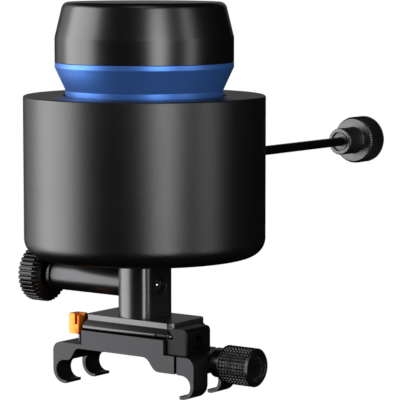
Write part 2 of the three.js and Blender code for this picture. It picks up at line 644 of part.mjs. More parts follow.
// Outline of the post: flat sides, round corners and bulged front and rear faces that run into each other.
function postOutline() {
  const cornerX = POST_WIDTH / 2 - POST_CORNER;
  const bulgeY = POST_DEPTH / 2 - POST_BULGE;
  const reach = POST_BULGE - POST_CORNER;
  const meeting = THREE.MathUtils.radToDeg(Math.acos(cornerX / reach));
  const cornerY = bulgeY + Math.sqrt(reach ** 2 - cornerX ** 2);
  const rear = [
    ...arc(cornerX, cornerY, POST_CORNER, 0, meeting, 5),
    ...arc(0, bulgeY, POST_BULGE, meeting, 180 - meeting, 6).slice(1, -1),
    ...arc(-cornerX, cornerY, POST_CORNER, 180 - meeting, 180, 5),
  ];
  return [...rear, ...rear.map(([x, y]) => [-x, -y])];
}

function post() {
  let whole = prism(postOutline(), 'z', PLATE_TOP, DRUM_BOTTOM);
  const onTube = { axis: 'x', at: [0, 0, TUBE_Z], segments: COARSE };
  const half = POST_WIDTH / 2;
  whole = whole.subtract(rod(LOCK_SPINDLE_RADIUS + FIT, -half - 1, half + 1, onTube));
  whole = whole.subtract(rod(TUBE_RADIUS + FIT, -half - 1, -half + TUBE_SOCKET, onTube));
  whole = whole.subtract(rod(LOCK_COUNTERBORE_RADIUS, half - COUNTERBORE_DEPTH, half + 1, onTube));
  const lowerTop = PLATE_BOTTOM + PLATE_SCREW_REACH + FIT;
  const upperTip = DRUM_BOTTOM - POST_SCREW_DROP - FIT;
  for (const y of [-SCREW_PAIR_Y, SCREW_PAIR_Y]) {
    const place = { at: [0, y, 0], segments: SMALL };
    whole = whole.subtract(rod(PLATE_SCREW_RADIUS + FIT, PLATE_TOP - 1, lowerTop, place));
    whole = whole.subtract(rod(PLATE_SCREW_RADIUS + FIT, upperTip, DRUM_BOTTOM + 1, place));
  }
  return whole;
}

node('post', post(), 'clampBlack');

['front', 'rear'].forEach((end, i) => {
  const at = [0, (i === 0 ? -1 : 1) * SCREW_PAIR_Y, 0];
  const foot = PLATE_BOTTOM + FIT;
  const screw = countersunkScrew(PLATE_SCREW_RADIUS, PLATE_SCREW_HEAD, foot, PLATE_SCREW_REACH - FIT);
  node(`plate_screw_${end}`, turned(screw, { at, segments: COARSE }), 'darkSteel');
  const head = rod(PLATE_SCREW_HEAD, POST_SCREW_HEAD_Z, POST_SCREW_HEAD_Z + 2.4, { at, segments: COARSE });
  const tip = DRUM_BOTTOM - POST_SCREW_DROP;
  const shank = rod(PLATE_SCREW_RADIUS, tip, POST_SCREW_HEAD_Z + 1, { at, segments: COARSE });
  const socket = rod(1.3, POST_SCREW_HEAD_Z + 1.2, POST_SCREW_HEAD_Z + 3, { at, segments: 6 });
  node(`post_screw_${end}`, head.add(shank).subtract(socket), 'darkSteel');
});

// ---------------------------------------------------------------- clamping screw

const SLEEVE_BORE = 4.6;
const SLEEVE_SPIGOT = 8;
const SLEEVE_X = -TUBE_REACH - CLEAR;
const LOCK_KNOB_X = SLEEVE_X - SLEEVE_LENGTH - CLEAR;
const LOCK_TIP_X = POST_WIDTH / 2 - 0.9;

const clampingTube = turned(
  [
    [LOCK_SPINDLE_RADIUS + CLEAR, -TUBE_REACH + SLEEVE_SPIGOT + 1],
    [SLEEVE_BORE, -TUBE_REACH + SLEEVE_SPIGOT + 1],
    [SLEEVE_BORE, -TUBE_REACH],
    [TUBE_RADIUS - 0.3, -TUBE_REACH],
    [TUBE_RADIUS, -TUBE_REACH + 0.3],
    [TUBE_RADIUS, -POST_WIDTH / 2 + TUBE_SOCKET - FIT],
    [LOCK_SPINDLE_RADIUS + CLEAR, -POST_WIDTH / 2 + TUBE_SOCKET - FIT],
  ],
  { axis: 'x', at: [0, 0, TUBE_Z], segments: MEDIUM },
);
node('clamping_tube', clampingTube, 'clampBlack');

const thrustSleeve = turned(
  [
    [LOCK_SPINDLE_RADIUS + FIT, SLEEVE_X - SLEEVE_LENGTH],
    [TUBE_RADIUS - 0.9, SLEEVE_X - SLEEVE_LENGTH],
    [TUBE_RADIUS - 0.9, SLEEVE_X - SLEEVE_LENGTH * 0.62],
    [TUBE_RADIUS + 0.6, SLEEVE_X - SLEEVE_LENGTH * 0.62],
    [TUBE_RADIUS + 0.6, SLEEVE_X],
    [SLEEVE_BORE - FIT, SLEEVE_X],
    [SLEEVE_BORE - FIT, SLEEVE_X + SLEEVE_SPIGOT],
    [LOCK_SPINDLE_RADIUS + FIT, SLEEVE_X + SLEEVE_SPIGOT],
  ],
  { axis: 'x', at: [0, 0, TUBE_Z], segments: MEDIUM },
);
node('thrust_sleeve', thrustSleeve, 'knobBlack');

function ribbedKnob() {
  const at = [0, 0, TUBE_Z];
  const place = { axis: 'x', at, segments: FINE };
  const end = LOCK_KNOB_X - LOCK_KNOB_LENGTH;
  const [ribStart, ribEnd] = [end + 0.7, LOCK_KNOB_X - LOCK_KNOB_CONE];
  const root = LOCK_KNOB_RADIUS - RIB_DEPTH - FIT / 2;
  const ribs = toothedWheel(LOCK_KNOB_RADIUS, RIB_DEPTH, LOCK_KNOB_RIBS, flatTooth, ribStart, ribEnd, 'x', at);
  const core = turned(
    [
      [0, end],
      [root - 0.7, end],
      [root, ribStart],
      [root, ribEnd],
      [LOCK_KNOB_FACE, LOCK_KNOB_X],
      [0, LOCK_KNOB_X],
    ],
    place,
  );
  const socket = rod(LOCK_SPINDLE_RADIUS + FIT, LOCK_SOCKET_X, LOCK_KNOB_X + 1, { ...place, segments: COARSE });
  const dish = turned(
    [[0, end - 1], [root - 2.2, end - 1], [root - 2.8, end + 0.9], [0, end + 0.9]],
    { ...place, segments: MEDIUM },
  );
  return ribs.add(core).subtract(socket).subtract(dish);
}

const LOCK_SOCKET_X = LOCK_KNOB_X - 6;

const lockSpindle = turned(
  [
    [0, LOCK_SOCKET_X + FIT],
    [LOCK_SPINDLE_RADIUS, LOCK_SOCKET_X + FIT],
    [LOCK_SPINDLE_RADIUS, LOCK_TIP_X - 2.2],
    [LOCK_SPINDLE_RADIUS * 0.6, LOCK_TIP_X - 2.2],
    ...arc(0, LOCK_TIP_X - LOCK_SPINDLE_RADIUS * 0.6, LOCK_SPINDLE_RADIUS * 0.6, 0, 60, 3),
    [0, LOCK_TIP_X],
  ],
  { axis: 'x', at: [0, 0, TUBE_Z], segments: COARSE },
);
node('ribbed_knob', ribbedKnob(), 'knobBlack');
node('clamping_spindle', lockSpindle, 'steel');

// ---------------------------------------------------------------- drum housing

const BUSH_RADIUS = 4.2;
const COVER_SCREW_RADIUS = 1.2;
const COVER_SCREW_HEAD = 2.2;
const COVER_SCREW_REACH = 6.4;
const COVER_SCREW_PLACES = [45, 135, 225, 315].map((degrees) => {
  const angle = THREE.MathUtils.degToRad(degrees);
  return [COVER_SCREW_CIRCLE * Math.cos(angle), COVER_SCREW_CIRCLE * Math.sin(angle), 0];
});
const RECESS_RADIUS = NECK_RADIUS + 1;
const DECK_BORE = NECK_RADIUS - 6;

function drum() {
  const outline = [
    [COVER_RADIUS + FIT, DRUM_BOTTOM],
    ...arc(DRUM_RADIUS - DRUM_FOOT_ROUND, DRUM_BOTTOM + DRUM_FOOT_ROUND, DRUM_FOOT_ROUND, -90, 0, 6),
    ...arc(DRUM_RADIUS - DRUM_TOP_ROUND, DRUM_TOP - DRUM_TOP_ROUND, DRUM_TOP_ROUND, 0, 90, 2),
    [RECESS_RADIUS, DRUM_TOP],
    [RECESS_RADIUS, RECESS_FLOOR],
    [DECK_BORE, RECESS_FLOOR],
    [DECK_BORE, DECK_BOTTOM],
    [DRUM_BORE, DECK_BOTTOM],
    [DRUM_BORE, LEDGE_Z + LEDGE_HEIGHT],
    [LEDGE_BORE, LEDGE_Z + LEDGE_HEIGHT],
    [LEDGE_BORE, LEDGE_Z],
    [COVER_RADIUS + FIT, LEDGE_Z],
  ];
  let shell = turned(outline, { segments: FINE });
  for (const at of COVER_SCREW_PLACES) {
    const top = DRUM_BOTTOM + COVER_SCREW_REACH + FIT;
    shell = shell.subtract(rod(COVER_SCREW_RADIUS + FIT, LEDGE_Z - 1, top, { at, segments: SMALL }));
  }
  const bushHole = { axis: 'y', at: [0, 0, SHAFT_Z], segments: COARSE };
  return shell.subtract(rod(BUSH_RADIUS + FIT, DRUM_BORE - 2, DRUM_RADIUS + 1, bushHole));
}

node('drum_housing', drum(), 'blackDrum');

function bottomCover() {
  let cover = rod(COVER_RADIUS - FIT, DRUM_BOTTOM, DRUM_BOTTOM + COVER_THICKNESS, { segments: FINE });
  const headHole = COVER_SCREW_HEAD + 2 * FIT;
  const sunk = countersunkScrew(COVER_SCREW_RADIUS + FIT, headHole, DRUM_BOTTOM, COVER_THICKNESS + 1);
  for (const at of COVER_SCREW_PLACES) cover = cover.subtract(turned(sunk, { at, segments: COARSE }));
  for (const y of [-SCREW_PAIR_Y, SCREW_PAIR_Y]) {
    const place = { at: [0, y, 0], segments: SMALL };
    const hole = rod(PLATE_SCREW_RADIUS + FIT, DRUM_BOTTOM - 1, DRUM_BOTTOM + COVER_THICKNESS + 1, place);
    cover = cover.subtract(hole);
  }
  return cover;
}

node('bottom_cover', bottomCover(), 'blackDrum');

COVER_SCREW_PLACES.forEach((at, i) => {
  const foot = DRUM_BOTTOM + FIT;
  const outline = countersunkScrew(COVER_SCREW_RADIUS, COVER_SCREW_HEAD, foot, COVER_SCREW_REACH - FIT);
  node(`cover_screw_${i + 1}`, turned(outline, { at, segments: SMALL }), 'darkSteel');
});

// ---------------------------------------------------------------- side shaft and disc knob

const onShaft = { axis: 'y', at: [0, 0, SHAFT_Z], segments: COARSE };
const ENCODER_FRONT = DRUM_BORE - 1;
const SHAFT_START = ENCODER_FRONT - 6;
const HUB_START = SHAFT_REACH;
const DISC_START = HUB_START + HUB_LENGTH;
const DISC_END = DISC_START + DISC_KNOB_LENGTH;
const KNOB_BUSH_RADIUS = HUB_RADIUS - 2.2;
const KNOB_BUSH_DEPTH = 5;
const END_SCREW_RADIUS = 3.4;
const END_SCREW_HEAD = 2;
const SHAFT_END = DISC_END - END_SCREW_HEAD - 1;

node('shaft_bush', ring(SHAFT_RADIUS + FIT, BUSH_RADIUS, DRUM_BORE - 0.6, DRUM_RADIUS - CLEAR, onShaft), 'bronze');
node('side_shaft', rod(SHAFT_RADIUS, SHAFT_START, SHAFT_END - FIT, onShaft), 'darkSteel');

function discKnob() {
  const at = [0, 0, SHAFT_Z];
  const edge = 0.9;
  const root = DISC_KNOB_RADIUS - KNURL_DEPTH - FIT / 2;
  const [knurlStart, knurlEnd] = [DISC_START + edge, DISC_END - edge];
  const wheel = toothedWheel(
    DISC_KNOB_RADIUS, KNURL_DEPTH, DISC_KNOB_TEETH, sharpTooth, knurlStart, knurlEnd, 'y', at,
  );
  const core = turned(
    [
      [0, DISC_START],
      [root - edge / 2, DISC_START],
      [root, knurlStart],
      [root, knurlEnd],
      [root - edge / 2, DISC_END],
      [0, DISC_END],
    ],
    { axis: 'y', at, segments: FINE },
  );
  const hub = turned(
    [
      [0, HUB_START],
      [HUB_RADIUS - 0.5, HUB_START],
      [HUB_RADIUS, HUB_START + 0.5],
      [HUB_RADIUS, DISC_START + 0.5],
      [0, DISC_START + 0.5],
    ],
    { axis: 'y', at, segments: MEDIUM },
  );
  const bore = rod(SHAFT_RADIUS + FIT, HUB_START - 1, DISC_END + 1, onShaft);
  const bushSeat = rod(KNOB_BUSH_RADIUS + FIT, HUB_START - 1, HUB_START + KNOB_BUSH_DEPTH, onShaft);
  const grooveRadius = KNOB_BUSH_RADIUS + HUB_GROOVE;
  const groove = rod(grooveRadius, HUB_START - 1, HUB_START + HUB_GROOVE_DEPTH, { ...onShaft, segments: MEDIUM });
  const screwSeat = rod(END_SCREW_RADIUS + FIT, SHAFT_END, DISC_END + 1, onShaft);
  return wheel.add(core).add(hub).subtract(bore).subtract(bushSeat).subtract(groove).subtract(screwSeat);
}

const knobBush = ring(
  SHAFT_RADIUS + FIT, KNOB_BUSH_RADIUS, HUB_START + 0.4, HUB_START + KNOB_BUSH_DEPTH - FIT, onShaft,
);
const endScrewHead = rod(END_SCREW_RADIUS, SHAFT_END + FIT, SHAFT_END + FIT + END_SCREW_HEAD, onShaft);
const endScrewSocket = rod(1.2, SHAFT_END + 1, DISC_END, { ...onShaft, segments: 6 });
node('disc_knob', discKnob(), 'knobBlack');
node('disc_knob_bush', knobBush, 'darkSteel');
node('disc_knob_screw', endScrewHead.subtract(endScrewSocket), 'darkSteel');

function knobEncoder() {
  const half = 6;
  const body = box([-half, ENCODER_FRONT - 11, SHAFT_Z - half], [half, ENCODER_FRONT, SHAFT_Z + half]);
  return body.subtract(rod(SHAFT_RADIUS + CLEAR, SHAFT_START - CLEAR, ENCODER_FRONT + 1, onShaft));
}

node('knob_encoder', knobEncoder(), 'board');

// ---------------------------------------------------------------- turret

const COLLAR_BOTTOM = RECESS_FLOOR + CLEAR;
const CONE_BOTTOM = DRUM_TOP + NECK_SHOWN;
const CONE_TOP = CONE_BOTTOM + COLLAR_CONE_HEIGHT;
const CAP_BOTTOM = CONE_TOP + COLLAR_BAND;
const CAP_EDGE = CAP_BOTTOM + CAP_SIDE_HEIGHT;
const CAP_SHOULDER = CAP_EDGE + CAP_SHOULDER_HEIGHT;
const CAP_TOP = CAP_SHOULDER + CAP_TOP_ROUND;
const SPIGOT_HEIGHT = 3.5;
const SPIGOT_OUTER = COLLAR_RADIUS - CAP_WALL - FIT;

const collar = turned(
  [
    [NECK_RADIUS - COLLAR_WALL, COLLAR_BOTTOM],
    [NECK_RADIUS, COLLAR_BOTTOM],
    [NECK_RADIUS, CONE_BOTTOM],
    [COLLAR_RADIUS, CONE_TOP],
    [COLLAR_RADIUS, CAP_BOTTOM],
    [SPIGOT_OUTER, CAP_BOTTOM],
    [SPIGOT_OUTER, CAP_BOTTOM + SPIGOT_HEIGHT],
    [SPIGOT_OUTER - 2.2, CAP_BOTTOM + SPIGOT_HEIGHT],
    [SPIGOT_OUTER - 2.2, CONE_TOP],
    [NECK_RADIUS - COLLAR_WALL, CONE_BOTTOM],
  ],
  { segments: FINE },
);
node('turret_collar', collar, 'blueAnodised');

const CAP_ROUND_STEPS = 5;

function cap() {
  const tilt = THREE.MathUtils.radToDeg(Math.atan2(COLLAR_RADIUS - CAP_SHOULDER_RADIUS, CAP_SHOULDER_HEIGHT));
  const roundCentre = [CAP_SHOULDER_RADIUS - CAP_TOP_ROUND, CAP_SHOULDER];
  const inside = COLLAR_RADIUS - CAP_WALL;
  const outline = [
    [0, CAP_TOP - CAP_WALL],
    [CAP_SHOULDER_RADIUS - CAP_TOP_ROUND, CAP_TOP - CAP_WALL],
    [CAP_SHOULDER_RADIUS - CAP_WALL, CAP_SHOULDER],
    [inside, CAP_EDGE],
    [inside, CAP_BOTTOM],
    [COLLAR_RADIUS, CAP_BOTTOM],
    [COLLAR_RADIUS, CAP_EDGE],
    ...arc(roundCentre[0], roundCentre[1], CAP_TOP_ROUND, tilt, 90, CAP_ROUND_STEPS),
    [0, CAP_TOP],
  ];
  return turned(outline, { segments: FINE });
}

node('turret_cap', cap(), 'blackCap');

// Turret shaft: a flange inside the collar and a spindle down through both bearings.
const FLANGE_Z = CONE_BOTTOM + 1.2;
const FLANGE_THICKNESS = 3;
const FLANGE_RADIUS = NECK_RADIUS - COLLAR_WALL - CLEAR;
const CARRIER_TOP = DECK_BOTTOM - CLEAR;
const CARRIER_BOTTOM = BOARD_TOP + DRIVE_TO_BOARD;
const CARRIER_RADIUS = BEARING_RADIUS + CARRIER_WALL;
const BELL_BOTTOM = CARRIER_BOTTOM - 4;
const STATOR_BOTTOM = CARRIER_BOTTOM + 3;
const BELL_RADIUS = STATOR_RADIUS + CLEAR + MAGNET_THICKNESS + FIT + BELL_WALL;
const SHAFT_FOOT = BELL_BOTTOM - 5;
const ENCODER_DISC_Z = BELL_BOTTOM - 3;

const turretShaft = turned([
  [0, SHAFT_FOOT],
  [BEARING_BORE_RADIUS - FIT, SHAFT_FOOT],
  [BEARING_BORE_RADIUS - FIT, CARRIER_TOP + FIT],
  [BEARING_BORE_RADIUS + 3, CARRIER_TOP + 1],
  [BEARING_BORE_RADIUS + 3, FLANGE_Z],
  [FLANGE_RADIUS, FLANGE_Z],
  [FLANGE_RADIUS, FLANGE_Z + FLANGE_THICKNESS],
  [0, FLANGE_Z + FLANGE_THICKNESS],
]);
node('turret_shaft', turretShaft, 'steel');

const carrier = turned([
  [BEARING_RADIUS + FIT, CARRIER_BOTTOM],
  [CARRIER_RADIUS, CARRIER_BOTTOM],
  [CARRIER_RADIUS, CARRIER_TOP - 3],
  [DECK_BORE + 6, CARRIER_TOP - 3],
  [DECK_BORE + 6, CARRIER_TOP],
  [BEARING_RADIUS + FIT, CARRIER_TOP],
  [BEARING_RADIUS + FIT, CARRIER_TOP - BEARING_WIDTH - CLEAR],
  [BEARING_RADIUS - 2, CARRIER_TOP - BEARING_WIDTH - CLEAR],
  [BEARING_RADIUS - 2, CARRIER_BOTTOM + BEARING_WIDTH + CLEAR],
  [BEARING_RADIUS + FIT, CARRIER_BOTTOM + BEARING_WIDTH + CLEAR],
]);
node('bearing_carrier', carrier, 'clampBlack');

function bearing(bottom) {
  const groove = 0.5;
  const [inner, outer] = [BEARING_BORE_RADIUS, BEARING_RADIUS];
  const [innerRace, outerRace] = [inner + 2.2, outer - 1.8];
  const top = bottom + BEARING_WIDTH;
  return turned(
    [
      [inner, bottom], [innerRace, bottom], [innerRace, bottom + groove], [outerRace, bottom + groove],
      [outerRace, bottom], [outer, bottom], [outer, top], [outerRace, top],
      [outerRace, top - groove], [innerRace, top - groove], [innerRace, top], [inner, top],
    ],
    { segments: COARSE },
  );
}

node('upper_bearing', bearing(CARRIER_TOP - BEARING_WIDTH), 'steel');
node('lower_bearing', bearing(CARRIER_BOTTOM), 'steel');

function stator() {
  const inner = CARRIER_RADIUS + FIT;
  let core = ring(inner, STATOR_RADIUS, STATOR_BOTTOM, STATOR_BOTTOM + STATOR_HEIGHT, { segments: MEDIUM });
  for (let i = 0; i < 9; i += 1) {
    const angle = (TURN * i) / 9;
    const middle = (inner + STATOR_RADIUS) / 2 + 0.6;
    const at = [middle * Math.cos(angle), middle * Math.sin(angle), 0];
    core = core.subtract(rod(1.9, STATOR_BOTTOM - 1, STATOR_BOTTOM + STATOR_HEIGHT + 1, { at, segments: 6 }));
  }
  return core;
}

node('motor_stator', stator(), 'copper');

const magnetInner = STATOR_RADIUS + CLEAR;
const magnetOuter = magnetInner + MAGNET_THICKNESS;
node('magnet_ring', ring(magnetInner, magnetOuter, STATOR_BOTTOM, STATOR_BOTTOM + STATOR_HEIGHT), 'darkSteel');

const bell = turned([
  [BEARING_BORE_RADIUS, BELL_BOTTOM],
  [BELL_RADIUS, BELL_BOTTOM],
  [BELL_RADIUS, STATOR_BOTTOM + STATOR_HEIGHT],
  [BELL_RADIUS - BELL_WALL, STATOR_BOTTOM + STATOR_HEIGHT],
  [BELL_RADIUS - BELL_WALL, BELL_BOTTOM + 2],
  [BEARING_BORE_RADIUS, BELL_BOTTOM + 2],
]);
node('rotor_bell', bell, 'steel');
node('encoder_disc', ring(BEARING_BORE_RADIUS, 18, ENCODER_DISC_Z, ENCODER_DISC_Z + 1), 'steel');

// Optics on the turret flange: an upright frame with two barrels looking out along -Y.
const OPTICS_Z = FLANGE_Z + FLANGE_THICKNESS + CLEAR + 13.5;
const LASER = { x: -11, radius: 5 };
const RECEIVER = { x: 9, radius: 8 };
const FRAME_Y = -6;
const BARREL_FRONT = -25;
const BARREL_BACK = -1;

function opticsFrame() {
  const bottom = FLANGE_Z + FLANGE_THICKNESS;
  const foot = box([-20, FRAME_Y - 5, bottom], [20, FRAME_Y + 5, bottom + 2.4]);
  let whole = foot.add(box([-20, FRAME_Y - 2, bottom + 1], [20, FRAME_Y + 2, OPTICS_Z + 9.5]));
  for (const { x, radius } of [LASER, RECEIVER]) {
    const bore = { axis: 'y', at: [x, 0, OPTICS_Z], segments: COARSE };
    whole = whole.subtract(rod(radius + FIT, FRAME_Y - 6, FRAME_Y + 6, bore));
  }
  return whole;
}

node('optics_frame', opticsFrame(), 'clampBlack');

const BARRELS = [
  ['laser', LASER, BARREL_FRONT],
  ['receiver', RECEIVER, BARREL_FRONT + 1],
];

for (const [name, { x, radius }, front] of BARRELS) {
  const place = { axis: 'y', at: [x, 0, OPTICS_Z], segments: COARSE };
  const barrel = turned(
    [
      [0, BARREL_BACK - 2],
      [radius - 2.2, BARREL_BACK - 2],
      [radius - 2.2, front + 4],
      [radius - 1, front + 4],
      [radius - 1, front],
      [radius, front],
      [radius, BARREL_BACK],
      [0, BARREL_BACK],
    ],
    place,
  );
  node(`${name}_barrel`, barrel, 'knobBlack');
  const glass = turned(
    [[0, front + 1.2], [radius - 1 - FIT, front + 1.9], [radius - 1 - FIT, front + 3.6], [0, front + 3.6]], place,
  );
  node(`${name}_lens`, glass, 'lensGlass');
}

const boardBottom = FLANGE_Z + FLANGE_THICKNESS;
node('turret_board', box([-20, 4, boardBottom], [20, 4 + BOARD_THICKNESS, OPTICS_Z + 9]), 'board');
node('counterweight', box([-11, 12, boardBottom], [11, 21, boardBottom + 12]), 'darkSteel');

// ---------------------------------------------------------------- electronics and battery

const STANDOFF_CIRCLE = LEDGE_BORE - STANDOFF_RADIUS - 1.2;
const READER_TOP = ENCODER_DISC_Z - 1.2;

for (let i = 0; i < 4; i += 1) {
  const angle = (TURN * i) / 4;
  const at = [STANDOFF_CIRCLE * Math.cos(angle), STANDOFF_CIRCLE * Math.sin(angle), 0];
  node(`standoff_${i + 1}`, rod(STANDOFF_RADIUS, STANDOFF_BOTTOM, BOARD_BOTTOM, { at, segments: SMALL }), 'steel');
}

node('main_board', rod(LEDGE_BORE - 1, BOARD_BOTTOM, BOARD_TOP, { segments: MEDIUM }), 'board');
node('encoder_reader', box([9, -5, BOARD_TOP], [17, 5, READER_TOP]), 'board');

for (const [side, sign] of [['left', -1], ['right', 1]]) {
  const near = PLATE_SCREW_HEAD + 1.2;
  const far = near + BATTERY_SIZE[0];
  const half = BATTERY_SIZE[1] / 2;
  const bottom = STANDOFF_BOTTOM + CLEAR;
  const xs = sign < 0 ? [-far, -near] : [near, far];
  node(`battery_${side}`, box([xs[0], -half, bottom], [xs[1], half, bottom + BATTERY_THICKNESS]), 'battery');
}

// The origin is on the clamp's flat underside, straight below the post.
scanner.position.z = -UNDERSIDE;
scanner.updateMatrixWorld(true);

export default scanner;
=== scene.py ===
import json
import math

import bmesh
import bpy
import numpy as np
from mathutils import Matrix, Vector

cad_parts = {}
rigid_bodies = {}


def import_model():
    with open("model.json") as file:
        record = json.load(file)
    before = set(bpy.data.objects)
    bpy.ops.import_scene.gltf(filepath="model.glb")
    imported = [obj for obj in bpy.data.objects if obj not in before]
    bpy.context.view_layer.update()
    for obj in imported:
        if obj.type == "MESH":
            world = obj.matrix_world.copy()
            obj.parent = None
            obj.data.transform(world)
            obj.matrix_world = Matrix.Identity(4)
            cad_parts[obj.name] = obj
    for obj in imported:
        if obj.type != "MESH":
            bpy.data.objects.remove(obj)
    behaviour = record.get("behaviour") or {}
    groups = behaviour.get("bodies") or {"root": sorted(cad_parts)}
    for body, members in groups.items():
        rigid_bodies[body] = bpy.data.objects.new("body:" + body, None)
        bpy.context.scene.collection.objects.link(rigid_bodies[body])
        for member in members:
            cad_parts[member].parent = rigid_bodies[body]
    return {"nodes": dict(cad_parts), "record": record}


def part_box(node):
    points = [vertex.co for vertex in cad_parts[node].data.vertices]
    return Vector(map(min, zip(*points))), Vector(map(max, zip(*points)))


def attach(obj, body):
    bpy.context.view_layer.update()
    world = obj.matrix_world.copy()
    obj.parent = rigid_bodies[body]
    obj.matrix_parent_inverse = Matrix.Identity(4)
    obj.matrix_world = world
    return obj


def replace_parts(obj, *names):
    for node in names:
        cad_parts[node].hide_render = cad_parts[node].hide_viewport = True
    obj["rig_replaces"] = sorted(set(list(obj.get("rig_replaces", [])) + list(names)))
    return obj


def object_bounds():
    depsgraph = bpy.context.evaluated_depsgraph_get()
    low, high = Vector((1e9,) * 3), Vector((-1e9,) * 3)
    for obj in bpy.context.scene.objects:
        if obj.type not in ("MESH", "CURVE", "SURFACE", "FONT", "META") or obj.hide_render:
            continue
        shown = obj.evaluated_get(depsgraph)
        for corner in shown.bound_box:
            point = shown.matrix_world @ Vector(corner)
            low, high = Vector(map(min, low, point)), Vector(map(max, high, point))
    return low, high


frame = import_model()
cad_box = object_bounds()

mm = 0.001


# ---------------------------------------------------------------- camera
# A long lens almost a metre away, a little above the drum and turned towards the thumbscrew's side.
# Nothing is out of focus.

CAMERA_AZIMUTH = math.radians(36.57)
CAMERA_TILT = math.radians(6.13)
CAMERA_DISTANCE = 929 * mm
CAMERA_LENS = 206.5
CAMERA_AIM = Vector((14.3, 18.0, 60.1)) * mm


def direction(azimuth, elevation):
    """Unit vector at an azimuth counted from -Y towards +X, raised by an elevation."""
    flat = math.cos(elevation)
    return Vector((math.sin(azimuth) * flat, -math.cos(azimuth) * flat, math.sin(elevation)))


camera = bpy.data.objects.new("camera", bpy.data.cameras.new("camera"))
bpy.context.scene.collection.objects.link(camera)
toward_camera = direction(CAMERA_AZIMUTH, CAMERA_TILT)
camera.location = CAMERA_AIM + CAMERA_DISTANCE * toward_camera
camera.rotation_mode = "QUATERNION"
camera.rotation_quaternion = (-toward_camera).to_track_quat("-Z", "Y")
camera.data.lens = CAMERA_LENS
camera.data.sensor_width = 36
camera.data.clip_start = 0.05
camera.data.clip_end = 50
bpy.context.scene.camera = camera
bpy.context.scene.view_settings.view_transform = "Standard"


# ---------------------------------------------------------------- lamps and surroundings
# A wide soft box stands on the left, an upright strip beside the camera and a narrower one on the right; a
# small lamp hangs above and a dim one stands behind, where level faces and outlines mirror it.
# The set is white to the eye, but the polished pieces mirror only the lamps, as between black flags.


def soft_box(name, turn_deg, elevation_deg, distance, width, height, power):
    """Rectangular lamp facing the object, turned about it from the camera's side."""
    lamp = bpy.data.objects.new(name, bpy.data.lights.new(name, "AREA"))
    bpy.context.scene.collection.objects.link(lamp)
    lamp.data.shape = "RECTANGLE"
    lamp.data.size = width
    lamp.data.size_y = height
    lamp.data.energy = power
    lamp.visible_camera = False
    outward = direction(CAMERA_AZIMUTH + math.radians(turn_deg), math.radians(elevation_deg))
    centre = Vector((0, 0, 70 * mm))
    lamp.location = centre + distance * outward
    lamp.rotation_mode = "QUATERNION"
    lamp.rotation_quaternion = (-outward).to_track_quat("-Z", "Y")
    return lamp


soft_box("left_soft_box", -91, 4, 1.3, 1.2, 1.5, 34)
soft_box("left_back_soft_box", -128, 4, 1.3, 0.8, 1.5, 2.5)
soft_box("front_strip", 19.5, 6, 1.5, 0.5, 1.6, 22)
soft_box("right_strip", 61.5, 6, 1.5, 0.3, 1.6, 6)
soft_box("top_lamp", 0, 63, 1.4, 0.5, 0.25, 1.5)
soft_box("back_soft_box", 180, 14, 1.5, 1.2, 0.5, 0.5)

world = bpy.data.worlds.new("studio")
bpy.context.scene.world = world
world.use_nodes = True
background = world.node_tree.nodes["Background"]
eye = world.node_tree.nodes.new("ShaderNodeLightPath")
shade = world.node_tree.nodes.new("ShaderNodeMix")
shade.data_type = "RGBA"
shade.inputs["A"].default_value = (0.003, 0.003, 0.003, 1)
shade.inputs["B"].default_value = (1, 1, 1, 1)
world.node_tree.links.new(eye.outputs["Is Camera Ray"], shade.inputs["Factor"])
world.node_tree.links.new(shade.outputs["Result"], background.inputs["Color"])


# ---------------------------------------------------------------- floor
# A seamless white sweep, lit so that it reads as plain paper up to the horizon. It is kept out of the
# reflections, because dark cloth lies round the object.

FLOOR_SIZE = 6.0
floor_z = cad_box[0].z
floor_mesh = bpy.data.meshes.new("floor")
half = FLOOR_SIZE / 2
floor_mesh.from_pydata(
    [(-half, -half, floor_z), (half, -half, floor_z), (half, half, floor_z), (-half, half, floor_z)],
    [], [(0, 1, 2, 3)],
)
floor = bpy.data.objects.new("floor", floor_mesh)
bpy.context.scene.collection.objects.link(floor)
floor.visible_glossy = False
floor.visible_diffuse = False

floor_material = bpy.data.materials.new("pale_floor")
floor_material.use_nodes = True
tree = floor_material.node_tree
paint = tree.nodes["Principled BSDF"]
paint.inputs["Base Color"].default_value = (0, 0, 0, 1)
paint.inputs["Roughness"].default_value = 1.0
paint.inputs["Specular IOR Level"].default_value = 0.0
paint.inputs["Emission Color"].default_value = (1, 1, 1, 1)
paint.inputs["Emission Strength"].default_value = 1.0
floor_mesh.materials.append(floor_material)


# ---------------------------------------------------------------- turret cap
# A moulded cap that passes infrared light: an upright band, a side that leans in and a broad round edge.
# It is turned in the mould's polish, so it shows clean soft reflections and only a faint grain.

CAP_SIDE = 9.85 * mm
CAP_TOP_RADIUS = 32.45 * mm
CAP_TOP_ROUND = 2.9 * mm
CAP_CREASE = 5 * mm
CAP_WALL = 2.4 * mm
CAP_INNER_ROUND = 2 * mm
LONGEST_CUT = 0.95


